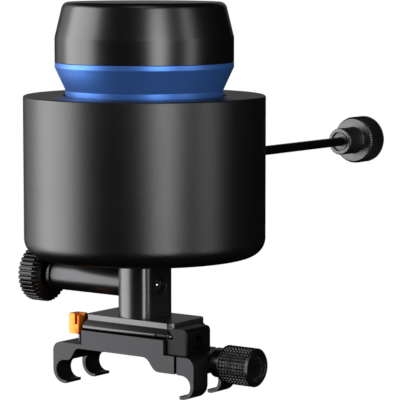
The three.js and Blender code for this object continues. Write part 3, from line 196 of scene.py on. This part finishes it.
def rounded(corners, steps=5, closed=False):
    """Outline through corners (x, y, radius): a corner with a radius becomes an arc tangent to its sides.

    An arc takes at most the share LONGEST_CUT of either side.
    """
    points = []
    count = len(corners)
    for i, (x, y, radius) in enumerate(corners):
        here = np.array((x, y))
        if radius <= 0 or (not closed and i in (0, count - 1)):
            points.append(here)
            continue
        before = np.array(corners[i - 1][:2]) - here
        after = np.array(corners[(i + 1) % count][:2]) - here
        reach_before = np.linalg.norm(before)
        reach_after = np.linalg.norm(after)
        before = before / reach_before
        after = after / reach_after
        half_angle = math.acos(float(np.clip(before @ after, -1, 1))) / 2
        cut = min(radius / math.tan(half_angle), LONGEST_CUT * reach_before, LONGEST_CUT * reach_after)
        turn_radius = cut * math.tan(half_angle)
        middle = (before + after) / np.linalg.norm(before + after)
        centre = here + middle * turn_radius / math.sin(half_angle)
        first = here + before * cut - centre
        last = here + after * cut - centre
        sweep = math.atan2(first[0] * last[1] - first[1] * last[0], float(first @ last))
        angles = np.linspace(0, sweep, steps + 1)
        cosines, sines = np.cos(angles), np.sin(angles)
        arc = np.stack([first[0] * cosines - first[1] * sines, first[0] * sines + first[1] * cosines], -1)
        points.extend(centre + arc)
    return np.array(points)


AXES = {
    "x": (Vector((0, 1, 0)), Vector((0, 0, 1)), Vector((1, 0, 0))),
    "y": (Vector((0, 0, 1)), Vector((1, 0, 0)), Vector((0, 1, 0))),
    "z": (Vector((1, 0, 0)), Vector((0, 1, 0)), Vector((0, 0, 1))),
}


def mesh_piece(name, points, faces, smooth_deg=32):
    """Object from points and faces: merged, faces outwards, smooth except across edges over an angle."""
    mesh = bpy.data.meshes.new(name)
    mesh.from_pydata([tuple(p) for p in points.tolist()], [], faces)
    shell = bmesh.new()
    shell.from_mesh(mesh)
    bmesh.ops.remove_doubles(shell, verts=shell.verts, dist=1e-7)
    bmesh.ops.recalc_face_normals(shell, faces=shell.faces)
    shell.to_mesh(mesh)
    shell.free()
    mesh.shade_smooth()
    mesh.set_sharp_from_angle(angle=math.radians(smooth_deg))
    piece = bpy.data.objects.new(name, mesh)
    bpy.context.scene.collection.objects.link(piece)
    return piece


def grid_faces(rows, columns, wrap_rows):
    """Quads of a grid that closes on itself round its columns, and round its rows if asked."""
    row = np.arange(rows if wrap_rows else rows - 1)[:, None]
    column = np.arange(columns)[None, :]
    next_row = (row + 1) % rows
    next_column = (column + 1) % columns
    corners = [row * columns + column, row * columns + next_column,
               next_row * columns + next_column, next_row * columns + column]
    return np.stack(np.broadcast_arrays(*corners), -1).reshape(-1, 4).tolist()


def revolved(name, outline, axis, centre, segments=128, relief=None, smooth_deg=32):
    """Surface of revolution: the point (r, h) of the outline at angle t lies at h along the axis and r away.

    relief(t, h, r) gives a new radius, for ribs and knurls. An outline off the axis closes on itself.
    """
    outline = np.asarray(outline, float)
    angle = np.linspace(0, 2 * math.pi, segments, endpoint=False)
    radius, height = outline[:, :1], outline[:, 1:]
    spread = radius if relief is None else relief(angle[None, :], height, radius)
    spread = np.broadcast_to(spread, (len(outline), segments))
    u, v, w = (np.array(a) for a in AXES[axis])
    around = np.cos(angle)[None, :, None] * u + np.sin(angle)[None, :, None] * v
    points = np.array(centre) + spread[..., None] * around + height[..., None] * w
    on_axis = outline[0, 0] < 1e-9 and outline[-1, 0] < 1e-9
    faces = grid_faces(len(outline), segments, not on_axis)
    return mesh_piece(name, points.reshape(-1, 3), faces, smooth_deg)


def fit(piece, body, slot, material, *nodes):
    """Puts a finish on a piece, lets it ride on its body and stand for CAD nodes."""
    piece.data.materials.clear()
    piece.data.materials.append(material)
    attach(piece, body)
    if nodes:
        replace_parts(piece, *nodes)
    return piece


def shader_group(name, values, vectors=("Vector",), outputs=("Mask", "Height")):
    """Empty node group with value inputs and their defaults, vector inputs and value outputs."""
    group = bpy.data.node_groups.new(name, "ShaderNodeTree")
    for socket in vectors:
        group.interface.new_socket(socket, in_out="INPUT", socket_type="NodeSocketVector")
    for socket, default in values.items():
        made = group.interface.new_socket(socket, in_out="INPUT", socket_type="NodeSocketFloat")
        made.default_value = default
    for socket in outputs:
        group.interface.new_socket(socket, in_out="OUTPUT", socket_type="NodeSocketFloat")
    start = group.nodes.new("NodeGroupInput")
    end = group.nodes.new("NodeGroupOutput")
    return group, start, end


def add_node(tree, kind, inputs=None, **settings):
    """Node of a kind, with its settings, and its inputs set to a value or linked from a socket."""
    node = tree.nodes.new(kind)
    for key, value in settings.items():
        setattr(node, key, value)
    for key, value in (inputs or {}).items():
        if isinstance(value, bpy.types.NodeSocket):
            tree.links.new(value, node.inputs[key])
        else:
            node.inputs[key].default_value = value
    return node


def lathe_group():
    """Lathe lines: noise that depends only on the distance from the axis and the height along it."""
    group, start, end = shader_group("lathe_lines", {"Lines": 6000.0})
    parts = add_node(group, "ShaderNodeSeparateXYZ", {"Vector": start.outputs["Vector"]})
    flat = add_node(group, "ShaderNodeCombineXYZ", {"X": parts.outputs["X"], "Y": parts.outputs["Y"]})
    radius = add_node(group, "ShaderNodeVectorMath", {0: flat.outputs["Vector"]}, operation="LENGTH")
    place = add_node(group, "ShaderNodeCombineXYZ", {"X": radius.outputs["Value"], "Y": parts.outputs["Z"]})
    lines = add_node(group, "ShaderNodeTexNoise", {
        "Vector": place.outputs["Vector"], "Scale": start.outputs["Lines"], "Detail": 2.0,
    })
    for socket in ("Mask", "Height"):
        group.links.new(lines.outputs["Fac"], end.inputs[socket])
    return group


def finish(name, colour, roughness, group, scale, spread=0.06, tone=0.3, bump=0.00001, metallic=1.0,
           centre=(0, 0, 0), turn=(0, 0, 0), shader=None):
    """Principled material with one surface effect: it varies the tone and the roughness and gives the bump.

    The vector is the object's own place, shifted to a centre and turned so that the piece's axis is Z.
    """
    made = bpy.data.materials.new(name)
    made.use_nodes = True
    tree = made.node_tree
    principled = tree.nodes["Principled BSDF"]
    place = add_node(tree, "ShaderNodeTexCoord").outputs["Object"]
    shifted = add_node(tree, "ShaderNodeVectorMath", {0: place, 1: tuple(centre)}, operation="SUBTRACT")
    turned_place = add_node(tree, "ShaderNodeMapping", {
        "Vector": shifted.outputs["Vector"], "Rotation": turn,
    })
    effect = add_node(tree, "ShaderNodeGroup", node_tree=group)
    tree.links.new(turned_place.outputs["Vector"], effect.inputs["Vector"])
    effect.inputs[1].default_value = scale
    darker = tuple(c * (1 - tone) for c in colour) + (1,)
    paler = tuple(c * (1 + tone) for c in colour) + (1,)
    tint = add_node(tree, "ShaderNodeMix", {
        "Factor": effect.outputs["Mask"], "A": darker, "B": paler,
    }, data_type="RGBA")
    tree.links.new(tint.outputs["Result"], principled.inputs["Base Color"])
    rough = add_node(tree, "ShaderNodeMapRange", {
        "Value": effect.outputs["Mask"], "To Min": roughness - spread, "To Max": roughness + spread,
    })
    tree.links.new(rough.outputs["Result"], principled.inputs["Roughness"])
    relief = add_node(tree, "ShaderNodeBump", {
        "Height": effect.outputs["Height"], "Strength": 0.5, "Distance": bump,
    })
    tree.links.new(relief.outputs["Normal"], principled.inputs["Normal"])
    principled.inputs["Metallic"].default_value = metallic
    for socket, value in (shader or {}).items():
        principled.inputs[socket].default_value = value
    return made


LATHE = lathe_group()

low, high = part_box("turret_cap")
cap_radius = high.x
cap_edge = low.z + CAP_SIDE
cap_outline = rounded([
    (0, high.z, 0),
    (CAP_TOP_RADIUS, high.z, CAP_TOP_ROUND),
    (cap_radius, cap_edge, CAP_CREASE),
    (cap_radius, low.z, 0.15 * mm),
    (cap_radius - CAP_WALL, low.z, 0),
    (cap_radius - CAP_WALL, cap_edge, CAP_INNER_ROUND),
    (CAP_TOP_RADIUS - CAP_WALL, high.z - CAP_WALL, CAP_INNER_ROUND),
    (0, high.z - CAP_WALL, 0),
], steps=8)
turret_cap = revolved("turret_cap_shell", cap_outline, "z", (0, 0, 0), segments=160)
cap_black = finish("cap_black", (0.003, 0.003, 0.003), 0.3, LATHE, 3500.0, spread=0.04, bump=0.000003,
                   metallic=0.0, shader={"Specular IOR Level": 0.6})
fit(turret_cap, "turret", "cap_black", cap_black, "turret_cap")


# ---------------------------------------------------------------- turret collar
# An aluminium ring, turned and anodised blue: a straight neck, a cone that opens upwards and a thin band.
# The cap sits over its spigot.

NECK_SHOWN = 2.1 * mm
CONE_HEIGHT = 9.2 * mm
BAND_HEIGHT = 2.0 * mm
NECK_RADIUS = 31.6 * mm
COLLAR_WALL = 3.2 * mm
SPIGOT_RADIUS = 33.3 * mm
SPIGOT_WALL = 2.1 * mm

low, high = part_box("turret_collar")
drum_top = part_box("drum_housing")[1].z
cone_bottom = drum_top + NECK_SHOWN
cone_top = cone_bottom + CONE_HEIGHT
band_top = cone_top + BAND_HEIGHT
collar_outline = rounded([
    (NECK_RADIUS - COLLAR_WALL, low.z, 0),
    (NECK_RADIUS, low.z, 0.2 * mm),
    (NECK_RADIUS, cone_bottom, 0.25 * mm),
    (high.x, cone_top, 0.35 * mm),
    (high.x, band_top, 0.3 * mm),
    (SPIGOT_RADIUS, band_top, 0),
    (SPIGOT_RADIUS, high.z, 0.3 * mm),
    (SPIGOT_RADIUS - SPIGOT_WALL, high.z, 0),
    (SPIGOT_RADIUS - SPIGOT_WALL, cone_top, 0),
    (NECK_RADIUS - COLLAR_WALL, cone_bottom, 0),
], steps=4)
collar = revolved("turret_collar_ring", collar_outline, "z", (0, 0, 0), segments=160)
collar_blue = finish("collar_blue", (0.065, 0.19, 0.6), 0.42, LATHE, 5000.0, spread=0.05, tone=0.08,
                     bump=0.000004, metallic=0.65)
fit(collar, "turret", "collar_blue", collar_blue, "turret_collar")


# ---------------------------------------------------------------- drum housing and bottom cover
# The drum is machined from an aluminium billet, bead blasted and coated satin black, so it carries a fine
# speckle. Its deck is sunk round the turret's neck, and a flush cover closes it from below.

FOOT_ROUND = 7.6 * mm
TOP_ROUND = 0.7 * mm
RECESS_DEPTH = 2 * mm
RECESS_RADIUS = NECK_RADIUS + 1 * mm
DECK_BORE = 25.6 * mm
DECK_THICKNESS = 5 * mm
DRUM_WALL = 3 * mm
COVER_SEAM = 0.1 * mm
LEDGE_HEIGHT = 4 * mm
LEDGE_RISE = 3.3 * mm
LEDGE_WIDTH = 6 * mm


def speckle_group():
    """Speckle: two noises, a fine one for the grain and a broad one for cloudiness, mixed into one mask."""
    group, start, end = shader_group("speckle", {"Scale": 2500.0, "Cloud": 0.25})
    fine = add_node(group, "ShaderNodeTexNoise", {
        "Vector": start.outputs["Vector"], "Scale": start.outputs["Scale"], "Detail": 3.0, "Roughness": 0.6,
    })
    broad = add_node(group, "ShaderNodeTexNoise", {
        "Vector": start.outputs["Vector"], "Scale": 60.0, "Detail": 3.0,
    })
    both = add_node(group, "ShaderNodeMix", {
        "Factor": start.outputs["Cloud"], "A": fine.outputs["Fac"], "B": broad.outputs["Fac"],
    }, data_type="FLOAT")
    group.links.new(both.outputs["Result"], end.inputs["Mask"])
    group.links.new(fine.outputs["Fac"], end.inputs["Height"])
    return group


SPECKLE = speckle_group()

low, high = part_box("drum_housing")
drum_radius = high.x
cover_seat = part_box("bottom_cover")[1].x + COVER_SEAM
drum_outline = rounded([
    (cover_seat, low.z, 0.2 * mm),
    (drum_radius, low.z, FOOT_ROUND),
    (drum_radius, high.z, TOP_ROUND),
    (RECESS_RADIUS, high.z, 0.3 * mm),
    (RECESS_RADIUS, high.z - RECESS_DEPTH, 0),
    (DECK_BORE, high.z - RECESS_DEPTH, 0.2 * mm),
    (DECK_BORE, high.z - DECK_THICKNESS, 0),
    (drum_radius - DRUM_WALL, high.z - DECK_THICKNESS, 0),
    (drum_radius - DRUM_WALL, low.z + LEDGE_RISE + LEDGE_HEIGHT, 0),
    (cover_seat - LEDGE_WIDTH, low.z + LEDGE_RISE + LEDGE_HEIGHT, 0),
    (cover_seat - LEDGE_WIDTH, low.z + LEDGE_RISE, 0),
    (cover_seat, low.z + LEDGE_RISE, 0),
], steps=14, closed=True)
drum = revolved("drum_shell", drum_outline, "z", (0, 0, 0), segments=192)
drum_black = finish("drum_black", (0.003, 0.003, 0.003), 0.37, SPECKLE, 2600.0, spread=0.1, tone=0.5,
                    bump=0.0001, metallic=0.0, shader={"Specular IOR Level": 0.6})
fit(drum, "head", "drum_black", drum_black, "drum_housing")


def softened(node, name, width, angle_deg=28, segments=2, smooth_deg=40):
    """Copy of a CAD node with its loose triangles merged, its flats made whole and its edges broken."""
    mesh = frame["nodes"][node].data.copy()
    mesh.materials.clear()
    shell = bmesh.new()
    shell.from_mesh(mesh)
    bmesh.ops.remove_doubles(shell, verts=shell.verts, dist=2e-6)
    bmesh.ops.dissolve_limit(shell, angle_limit=math.radians(1.5), verts=shell.verts, edges=shell.edges)
    shell.to_mesh(mesh)
    shell.free()
    mesh.shade_smooth()
    mesh.set_sharp_from_angle(angle=math.radians(smooth_deg))
    piece = bpy.data.objects.new(name, mesh)
    bpy.context.scene.collection.objects.link(piece)
    edge = piece.modifiers.new("broken_edges", "BEVEL")
    edge.width = width
    edge.segments = segments
    edge.limit_method = "ANGLE"
    edge.angle_limit = math.radians(angle_deg)
    edge.use_clamp_overlap = True
    edge.harden_normals = True
    return piece


cover = softened("bottom_cover", "bottom_cover_disc", 0.15 * mm)
fit(cover, "head", "drum_black", drum_black, "bottom_cover")


# ---------------------------------------------------------------- rail clamp
# The body with its two left hooks, the moving jaw with the two right ones and the fixed dovetail jaw are
# milled from aluminium bar, their edges broken, and anodised black. Flats keep fine lines from the cutter.

EDGE_BREAK = 0.32 * mm


def brush_group():
    """Brushed lines: noise stretched fifty times along the first axis of the vector."""
    group, start, end = shader_group("brushed_lines", {"Lines": 4000.0})
    stretched = add_node(group, "ShaderNodeVectorMath", {0: start.outputs["Vector"], 1: (0.02, 1.0, 1.0)},
                         operation="MULTIPLY")
    lines = add_node(group, "ShaderNodeTexNoise", {
        "Vector": stretched.outputs["Vector"], "Scale": start.outputs["Lines"], "Detail": 2.0,
    })
    for socket in ("Mask", "Height"):
        group.links.new(lines.outputs["Fac"], end.inputs[socket])
    return group


def edge_group():
    """Thin edges: how sharply the surface bulges, above a threshold, broken up by a noise."""
    group, start, end = shader_group("thin_edges", {"Threshold": 0.56, "Amount": 0.5}, outputs=("Mask",))
    shape = add_node(group, "ShaderNodeNewGeometry")
    bulge = add_node(group, "ShaderNodeMapRange", {
        "Value": shape.outputs["Pointiness"], "From Min": start.outputs["Threshold"], "From Max": 0.75,
    })
    patch = add_node(group, "ShaderNodeTexNoise", {
        "Vector": start.outputs["Vector"], "Scale": 700.0, "Detail": 4.0,
    })
    broken = add_node(group, "ShaderNodeMath", {0: bulge.outputs["Result"], 1: patch.outputs["Fac"]},
                      operation="MULTIPLY")
    share = add_node(group, "ShaderNodeMath", {0: broken.outputs["Value"], 1: start.outputs["Amount"]},
                     operation="MULTIPLY")
    group.links.new(share.outputs["Value"], end.inputs["Mask"])
    return group


def worn_edges(material, amount, colour):
    """Lays a paler metal over a finish where its edges are sharp and the coating is thin."""
    tree = material.node_tree
    base = tree.nodes["Principled BSDF"].inputs["Base Color"]
    place = add_node(tree, "ShaderNodeTexCoord").outputs["Object"]
    edges = add_node(tree, "ShaderNodeGroup", node_tree=EDGES)
    tree.links.new(place, edges.inputs["Vector"])
    edges.inputs["Amount"].default_value = amount
    mixed = add_node(tree, "ShaderNodeMix", {
        "Factor": edges.outputs["Mask"], "A": base.links[0].from_socket, "B": colour + (1,),
    }, data_type="RGBA")
    tree.links.new(mixed.outputs["Result"], base)


BRUSH = brush_group()
EDGES = edge_group()

clamp_black = finish("clamp_black", (0.032, 0.032, 0.034), 0.42, BRUSH, 3000.0, spread=0.08, tone=0.25,
                     bump=0.000006, metallic=0.85)
worn_edges(clamp_black, 0.3, (0.12, 0.12, 0.12))
block_black = finish("block_black", (0.012, 0.012, 0.013), 0.45, BRUSH, 3000.0, spread=0.08, tone=0.25,
                     bump=0.000006, metallic=0.85)
clamp_body = softened("clamp_body", "clamp_body_milled", EDGE_BREAK)
fit(clamp_body, "clamp", "clamp_black", clamp_black, "clamp_body")
moving_jaw = softened("moving_jaw", "moving_jaw_milled", EDGE_BREAK)
fit(moving_jaw, "jaw", "clamp_black", clamp_black, "moving_jaw")
dovetail_jaw = softened("dovetail_jaw", "dovetail_jaw_milled", EDGE_BREAK)
fit(dovetail_jaw, "clamp", "clamp_black", block_black, "dovetail_jaw")


# ---------------------------------------------------------------- dovetail plate and post
# The plate is milled and the post is cut from bar and screwed onto it from below. Both are polished a little
# finer than the clamp before they are anodised, so they show the lamps more brightly.

plate_black = finish("plate_black", (0.068, 0.068, 0.07), 0.3, BRUSH, 3000.0, spread=0.06, tone=0.2,
                     bump=0.000005, metallic=0.85)
for node_name, piece_name in [("dovetail_plate", "dovetail_plate_milled"), ("post", "post_milled")]:
    fit(softened(node_name, piece_name, EDGE_BREAK), "head", "clamp_black", plate_black, node_name)


# ---------------------------------------------------------------- quick-release lever
# A milled lever, anodised orange: a thumb tab with a relief slot, a dovetail nose and an eye on its pin.

LEVER_EDGE_BREAK = 0.45 * mm

lever_orange = finish("lever_orange", (0.75, 0.2, 0.015), 0.4, SPECKLE, 2500.0, spread=0.05, tone=0.06,
                      bump=0.000005, metallic=0.6)
lever = softened("release_lever", "release_lever_milled", LEVER_EDGE_BREAK)
fit(lever, "lever", "lever_orange", lever_orange, "release_lever")


# ---------------------------------------------------------------- thumbscrew
# A turned aluminium knob on a plain neck. Its rim is cut into rows of small square points between plain
# chamfers, and its end is dished.

THUMB_NECK = 5 * mm
THUMB_NECK_RADIUS = 5.7 * mm
THUMB_CHAMFER = 0.7 * mm
POINTS_ROUND = 32
POINT_PITCH = 1.45 * mm
POINT_DEPTH = 0.6 * mm
POINT_STEEPNESS = 1.7
POINT_RUNOUT = 0.25 * mm
KNURL_ROWS = 97
THUMB_RIM = 1.3 * mm
DISH_DEPTH = 1.4 * mm
DISH_SLOPE = 0.5 * mm

low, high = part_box("thumbscrew_knob")
thumb_radius = (high.z - low.z) / 2
thumb_axis = (low.z + high.z) / 2
knurl_start = low.x + THUMB_NECK + THUMB_CHAMFER
knurl_end = high.x - THUMB_CHAMFER - 0.2 * mm


def fold(phase):
    """Triangle wave between 0 at whole numbers and 1 half way between them."""
    return 1 - np.abs(2 * (phase - np.floor(phase)) - 1)


def points(angle, place, radius):
    """Grooves along the axis and round it: the radius drops where either one's triangle wave is low."""
    turns = fold(POINTS_ROUND * angle / (2 * math.pi))
    along = fold(place / POINT_PITCH)
    depth = POINT_DEPTH * (1 - np.clip(np.minimum(turns, along) * POINT_STEEPNESS, 0, 1))
    ends = np.clip(np.minimum(place - knurl_start, knurl_end - place) / POINT_RUNOUT, 0, 1)
    return radius - depth * ends


face_radius = thumb_radius - THUMB_CHAMFER - THUMB_RIM
thumb_outline = np.concatenate([
    rounded([
        (0, low.x, 0),
        (THUMB_NECK_RADIUS, low.x, 0.4 * mm),
        (THUMB_NECK_RADIUS, low.x + THUMB_NECK, 0),
        (thumb_radius - THUMB_CHAMFER / 2, low.x + THUMB_NECK, 0.15 * mm),
        (thumb_radius, low.x + THUMB_NECK + THUMB_CHAMFER / 2, 0),
    ], steps=3),
    np.stack([np.full(KNURL_ROWS, thumb_radius), np.linspace(knurl_start, knurl_end, KNURL_ROWS)], -1),
    rounded([
        (thumb_radius, knurl_end + 0.1 * mm, 0),
        (thumb_radius, high.x - THUMB_CHAMFER, 0.2 * mm),
        (thumb_radius - THUMB_CHAMFER, high.x, 0.2 * mm),
        (face_radius, high.x, 0.2 * mm),
        (face_radius - DISH_SLOPE, high.x - DISH_DEPTH, 0.2 * mm),
        (0, high.x - DISH_DEPTH, 0),
    ], steps=3),
])
thumb_knob = revolved("thumbscrew_knurled_knob", thumb_outline, "x", (0, 0, thumb_axis), segments=432,
                      relief=points, smooth_deg=30)
knurl_black = finish("knurl_black", (0.03, 0.03, 0.032), 0.32, SPECKLE, 3000.0, spread=0.05, tone=0.2,
                     bump=0.000004, metallic=0.85)
worn_edges(knurl_black, 0.5, (0.2, 0.2, 0.2))
fit(thumb_knob, "thumbscrew", "knob_black", knurl_black, "thumbscrew_knob")


# ---------------------------------------------------------------- clamping tube, sleeve and ribbed knob
# The tube is turned and pressed into the post. The thrust sleeve slides in its mouth with the knob, whose
# rim has straight ribs between an end chamfer and a plain shallow cone. The cone's middle is sunk.

RIBS = 36
RIB_DEPTH = 1.4 * mm
RIB_CONE = 1.5 * mm
RIB_FACE = 7.5 * mm
RIB_GAP = 0.21
RIB_SHOULDER = 0.4
RIB_RUNOUT = 0.35 * mm
RIB_ROWS = 17
KNOB_RIM_OUTER = 0.7 * mm
KNOB_RIM_INNER = 2.2 * mm
KNOB_FACE_EDGE = 2.8 * mm
KNOB_FACE_SINK = 0.9 * mm
SLEEVE_BORE_RADIUS = 4.6 * mm
SLEEVE_BORE_DEPTH = 9 * mm
SPINDLE_BORE_RADIUS = 2.3 * mm
SLEEVE_HOLE_RADIUS = 2.1 * mm
SLEEVE_SPIGOT_RADIUS = 4.5 * mm
SLEEVE_LENGTH = 2.9 * mm
SLEEVE_STEP = 1.5 * mm
SLEEVE_STEP_LENGTH = 1.1 * mm

low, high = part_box("clamping_tube")
tube_radius = (high.z - low.z) / 2
tube_axis = (0, 0, (low.z + high.z) / 2)
tube_outline = rounded([
    (SLEEVE_BORE_RADIUS, low.x, 0),
    (tube_radius, low.x, 0.4 * mm),
    (tube_radius, high.x, 0),
    (SPINDLE_BORE_RADIUS, high.x, 0),
    (SPINDLE_BORE_RADIUS, low.x + SLEEVE_BORE_DEPTH, 0),
    (SLEEVE_BORE_RADIUS, low.x + SLEEVE_BORE_DEPTH, 0),
], steps=4, closed=True)
X_UP = (0, math.radians(-90), 0)
tube_black = finish("tube_black", (0.05, 0.05, 0.052), 0.32, LATHE, 4000.0, spread=0.06, bump=0.000005,
                    metallic=0.85, centre=tube_axis, turn=X_UP)
tube = revolved("clamping_tube_turned", tube_outline, "x", tube_axis, segments=64)
fit(tube, "head", "clamp_black", tube_black, "clamping_tube")

low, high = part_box("thrust_sleeve")
sleeve_radius = (high.z - low.z) / 2
sleeve_outline = rounded([
    (SLEEVE_HOLE_RADIUS, low.x, 0),
    (sleeve_radius - SLEEVE_STEP, low.x, 0.2 * mm),
    (sleeve_radius - SLEEVE_STEP, low.x + SLEEVE_STEP_LENGTH, 0),
    (sleeve_radius, low.x + SLEEVE_STEP_LENGTH, 0.3 * mm),
    (sleeve_radius, low.x + SLEEVE_LENGTH, 0.3 * mm),
    (SLEEVE_SPIGOT_RADIUS, low.x + SLEEVE_LENGTH, 0),
    (SLEEVE_SPIGOT_RADIUS, high.x, 0.2 * mm),
    (SLEEVE_HOLE_RADIUS, high.x, 0),
], steps=3, closed=True)
sleeve = revolved("thrust_sleeve_turned", sleeve_outline, "x", tube_axis, segments=64)
fit(sleeve, "sleeve", "knob_black", tube_black, "thrust_sleeve")

low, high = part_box("ribbed_knob")
rib_radius = (high.z - low.z) / 2
rib_root = rib_radius - RIB_DEPTH
rib_start = low.x + KNOB_RIM_OUTER
rib_end = high.x - RIB_CONE


def ribs(angle, place, radius):
    """Flat-topped ribs with round shoulders: the radius drops in a narrow gap once every pitch."""
    wave = fold(RIBS * angle / (2 * math.pi))
    crown = np.clip((wave - RIB_GAP) / RIB_SHOULDER, 0, 1)
    crown = np.sqrt(1 - (1 - crown) ** 2)
    inside = np.clip(np.minimum(place - rib_start, rib_end - place) / RIB_RUNOUT, 0, 1)
    depth = (radius - rib_root) * (1 - crown)
    return np.where(radius > rib_root, rib_root + (radius - rib_root - depth) * np.sqrt(inside), radius)


rib_outline = np.concatenate([
    rounded([
        (0, low.x + KNOB_FACE_SINK, 0),
        (rib_root - KNOB_FACE_EDGE, low.x + KNOB_FACE_SINK, 0.2 * mm),
        (rib_root - KNOB_RIM_INNER, low.x, 0.25 * mm),
        (rib_root - KNOB_RIM_OUTER, low.x, 0.2 * mm),
        (rib_root, rib_start, 0),
    ], steps=3),
    np.stack([np.full(RIB_ROWS, rib_radius), np.linspace(rib_start, rib_end, RIB_ROWS)], -1),
    rounded([
        (rib_root, rib_end, 0),
        (RIB_FACE + 0.5 * mm, high.x, 0.4 * mm),
        (RIB_FACE, high.x, 0.1 * mm),
        (RIB_FACE, rib_end, 0),
        (0, rib_end, 0),
    ], steps=3),
])
ribbed_knob = revolved("ribbed_knob_turned", rib_outline, "x", tube_axis, segments=720, relief=ribs,
                       smooth_deg=45)
fit(ribbed_knob, "clamping_knob", "knob_black", knurl_black, "ribbed_knob")


# ---------------------------------------------------------------- side shaft and disc knob
# A thin blackened steel shaft carries a turned knob: a stepped hub, and a disc with a fine straight knurl.

HUB_LENGTH = 11 * mm
HUB_RADIUS = 6 * mm
BUSH_SEAT_RADIUS = 3.9 * mm
HUB_GROOVE_RADIUS = 4.3 * mm
HUB_GROOVE_DEPTH = 1 * mm
BUSH_SEAT_DEPTH = 5 * mm
SHAFT_HOLE_RADIUS = 2.1 * mm
SCREW_SINK_RADIUS = 3.5 * mm
SCREW_SINK_DEPTH = 3 * mm
KNURL_TEETH = 60
KNURL_DEPTH = 0.9 * mm
KNURL_EDGE = 0.9 * mm
KNURL_FACE_BAND = 0.3 * mm
EDGE_ROWS = 6
TOOTH_ROWS = 9

low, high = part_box("disc_knob")
disc_radius = (high.z - low.z) / 2
shaft_axis = (0, 0, (low.z + high.z) / 2)
disc_start = low.y + HUB_LENGTH
disc_end = high.y


def teeth(angle, place, radius):
    """Fine triangular grooves cut along the rim: the smaller of the plain radius and the tooth's."""
    wave = fold(KNURL_TEETH * angle / (2 * math.pi))
    return np.minimum(radius, disc_radius - KNURL_DEPTH * (1 - wave))


edge_steps = KNURL_EDGE * np.linspace(0, 1, EDGE_ROWS)
tooth_places = np.linspace(disc_start + KNURL_EDGE, disc_end - KNURL_EDGE, TOOTH_ROWS)
plain_radius = disc_radius - KNURL_EDGE
disc_outline = np.concatenate([
    rounded([
        (SHAFT_HOLE_RADIUS, low.y + BUSH_SEAT_DEPTH, 0),
        (BUSH_SEAT_RADIUS, low.y + BUSH_SEAT_DEPTH, 0),
        (BUSH_SEAT_RADIUS, low.y + HUB_GROOVE_DEPTH, 0),
        (HUB_GROOVE_RADIUS, low.y + HUB_GROOVE_DEPTH, 0),
        (HUB_GROOVE_RADIUS, low.y, 0.15 * mm),
        (HUB_RADIUS, low.y, 0.5 * mm),
        (HUB_RADIUS, disc_start, 0.3 * mm),
        (plain_radius - KNURL_FACE_BAND, disc_start, 0),
    ], steps=4),
    np.stack([plain_radius + edge_steps, disc_start + edge_steps], -1),
    np.stack([np.full(TOOTH_ROWS, disc_radius), tooth_places], -1),
    np.stack([disc_radius - edge_steps, disc_end - KNURL_EDGE + edge_steps], -1),
    rounded([
        (plain_radius - KNURL_FACE_BAND, disc_end, 0),
        (SCREW_SINK_RADIUS, disc_end, 0.15 * mm),
        (SCREW_SINK_RADIUS, disc_end - SCREW_SINK_DEPTH, 0),
        (SHAFT_HOLE_RADIUS, disc_end - SCREW_SINK_DEPTH, 0),
    ], steps=4),
])
disc_knob = revolved("disc_knob_turned", disc_outline, "y", shaft_axis, segments=768, relief=teeth,
                     smooth_deg=45)
disc_black = finish("disc_black", (0.075, 0.075, 0.077), 0.34, SPECKLE, 3000.0, spread=0.05, tone=0.15,
                    bump=0.000004, metallic=0.85)
fit(disc_knob, "side_knob", "knob_black", disc_black, "disc_knob")

low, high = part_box("side_shaft")
shaft_radius = (high.z - low.z) / 2
shaft_outline = rounded([
    (0, low.y, 0),
    (shaft_radius, low.y, 0.3 * mm),
    (shaft_radius, high.y, 0.3 * mm),
    (0, high.y, 0),
], steps=3)
Y_UP = (math.radians(90), 0, 0)
shaft_black = finish("shaft_black", (0.02, 0.02, 0.022), 0.32, LATHE, 5000.0, bump=0.000003, metallic=0.9,
                     centre=shaft_axis, turn=Y_UP)
side_shaft = revolved("side_shaft_turned", shaft_outline, "y", shaft_axis, segments=48)
fit(side_shaft, "side_knob", "dark_steel", shaft_black, "side_shaft")


# ---------------------------------------------------------------- small and inner pieces
# Screws, pins, bearings, boards, cells and optics keep their CAD shape and get the finish of their stock:
# bright or blackened steel, bronze, copper windings, solder mask, shrink wrap and coated glass.

steel = finish("bright_steel", (0.5, 0.5, 0.51), 0.28, SPECKLE, 3000.0, tone=0.1, bump=0.000003)
black_steel = finish("blackened_steel", (0.06, 0.06, 0.064), 0.35, SPECKLE, 3000.0, tone=0.2, bump=0.000003)
bronze = finish("sintered_bronze", (0.42, 0.26, 0.11), 0.45, SPECKLE, 4000.0, tone=0.25, bump=0.00001)
copper = finish("lacquered_copper", (0.6, 0.28, 0.14), 0.4, SPECKLE, 1500.0, tone=0.25, bump=0.00002)
mask_green = finish("solder_mask", (0.02, 0.16, 0.07), 0.4, SPECKLE, 900.0, tone=0.3, metallic=0.0)
shrink_blue = finish("shrink_wrap", (0.05, 0.12, 0.35), 0.35, SPECKLE, 300.0, tone=0.15, metallic=0.0)
lens_glass = finish("coated_glass", (0.6, 0.7, 0.9), 0.08, SPECKLE, 2000.0, spread=0.02, tone=0.05,
                    metallic=0.0, shader={"IOR": 1.6})
by_slot = {
    "steel": steel, "dark_steel": black_steel, "bronze": bronze, "copper": copper, "board": mask_green,
    "battery": shrink_blue, "lens_glass": lens_glass, "clamp_black": clamp_black, "knob_black": knurl_black,
    "drum_black": drum_black, "cap_black": cap_black, "collar_blue": collar_blue,
    "lever_orange": lever_orange,
}
stood_for = {node for piece in bpy.data.objects for node in piece.get("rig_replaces", [])}
for part in frame["record"]["subparts"]:
    kept = frame["nodes"][part["node"]]
    if part["node"] not in stood_for:
        kept.data.materials.clear()
        kept.data.materials.append(by_slot[part["material_slot"]])
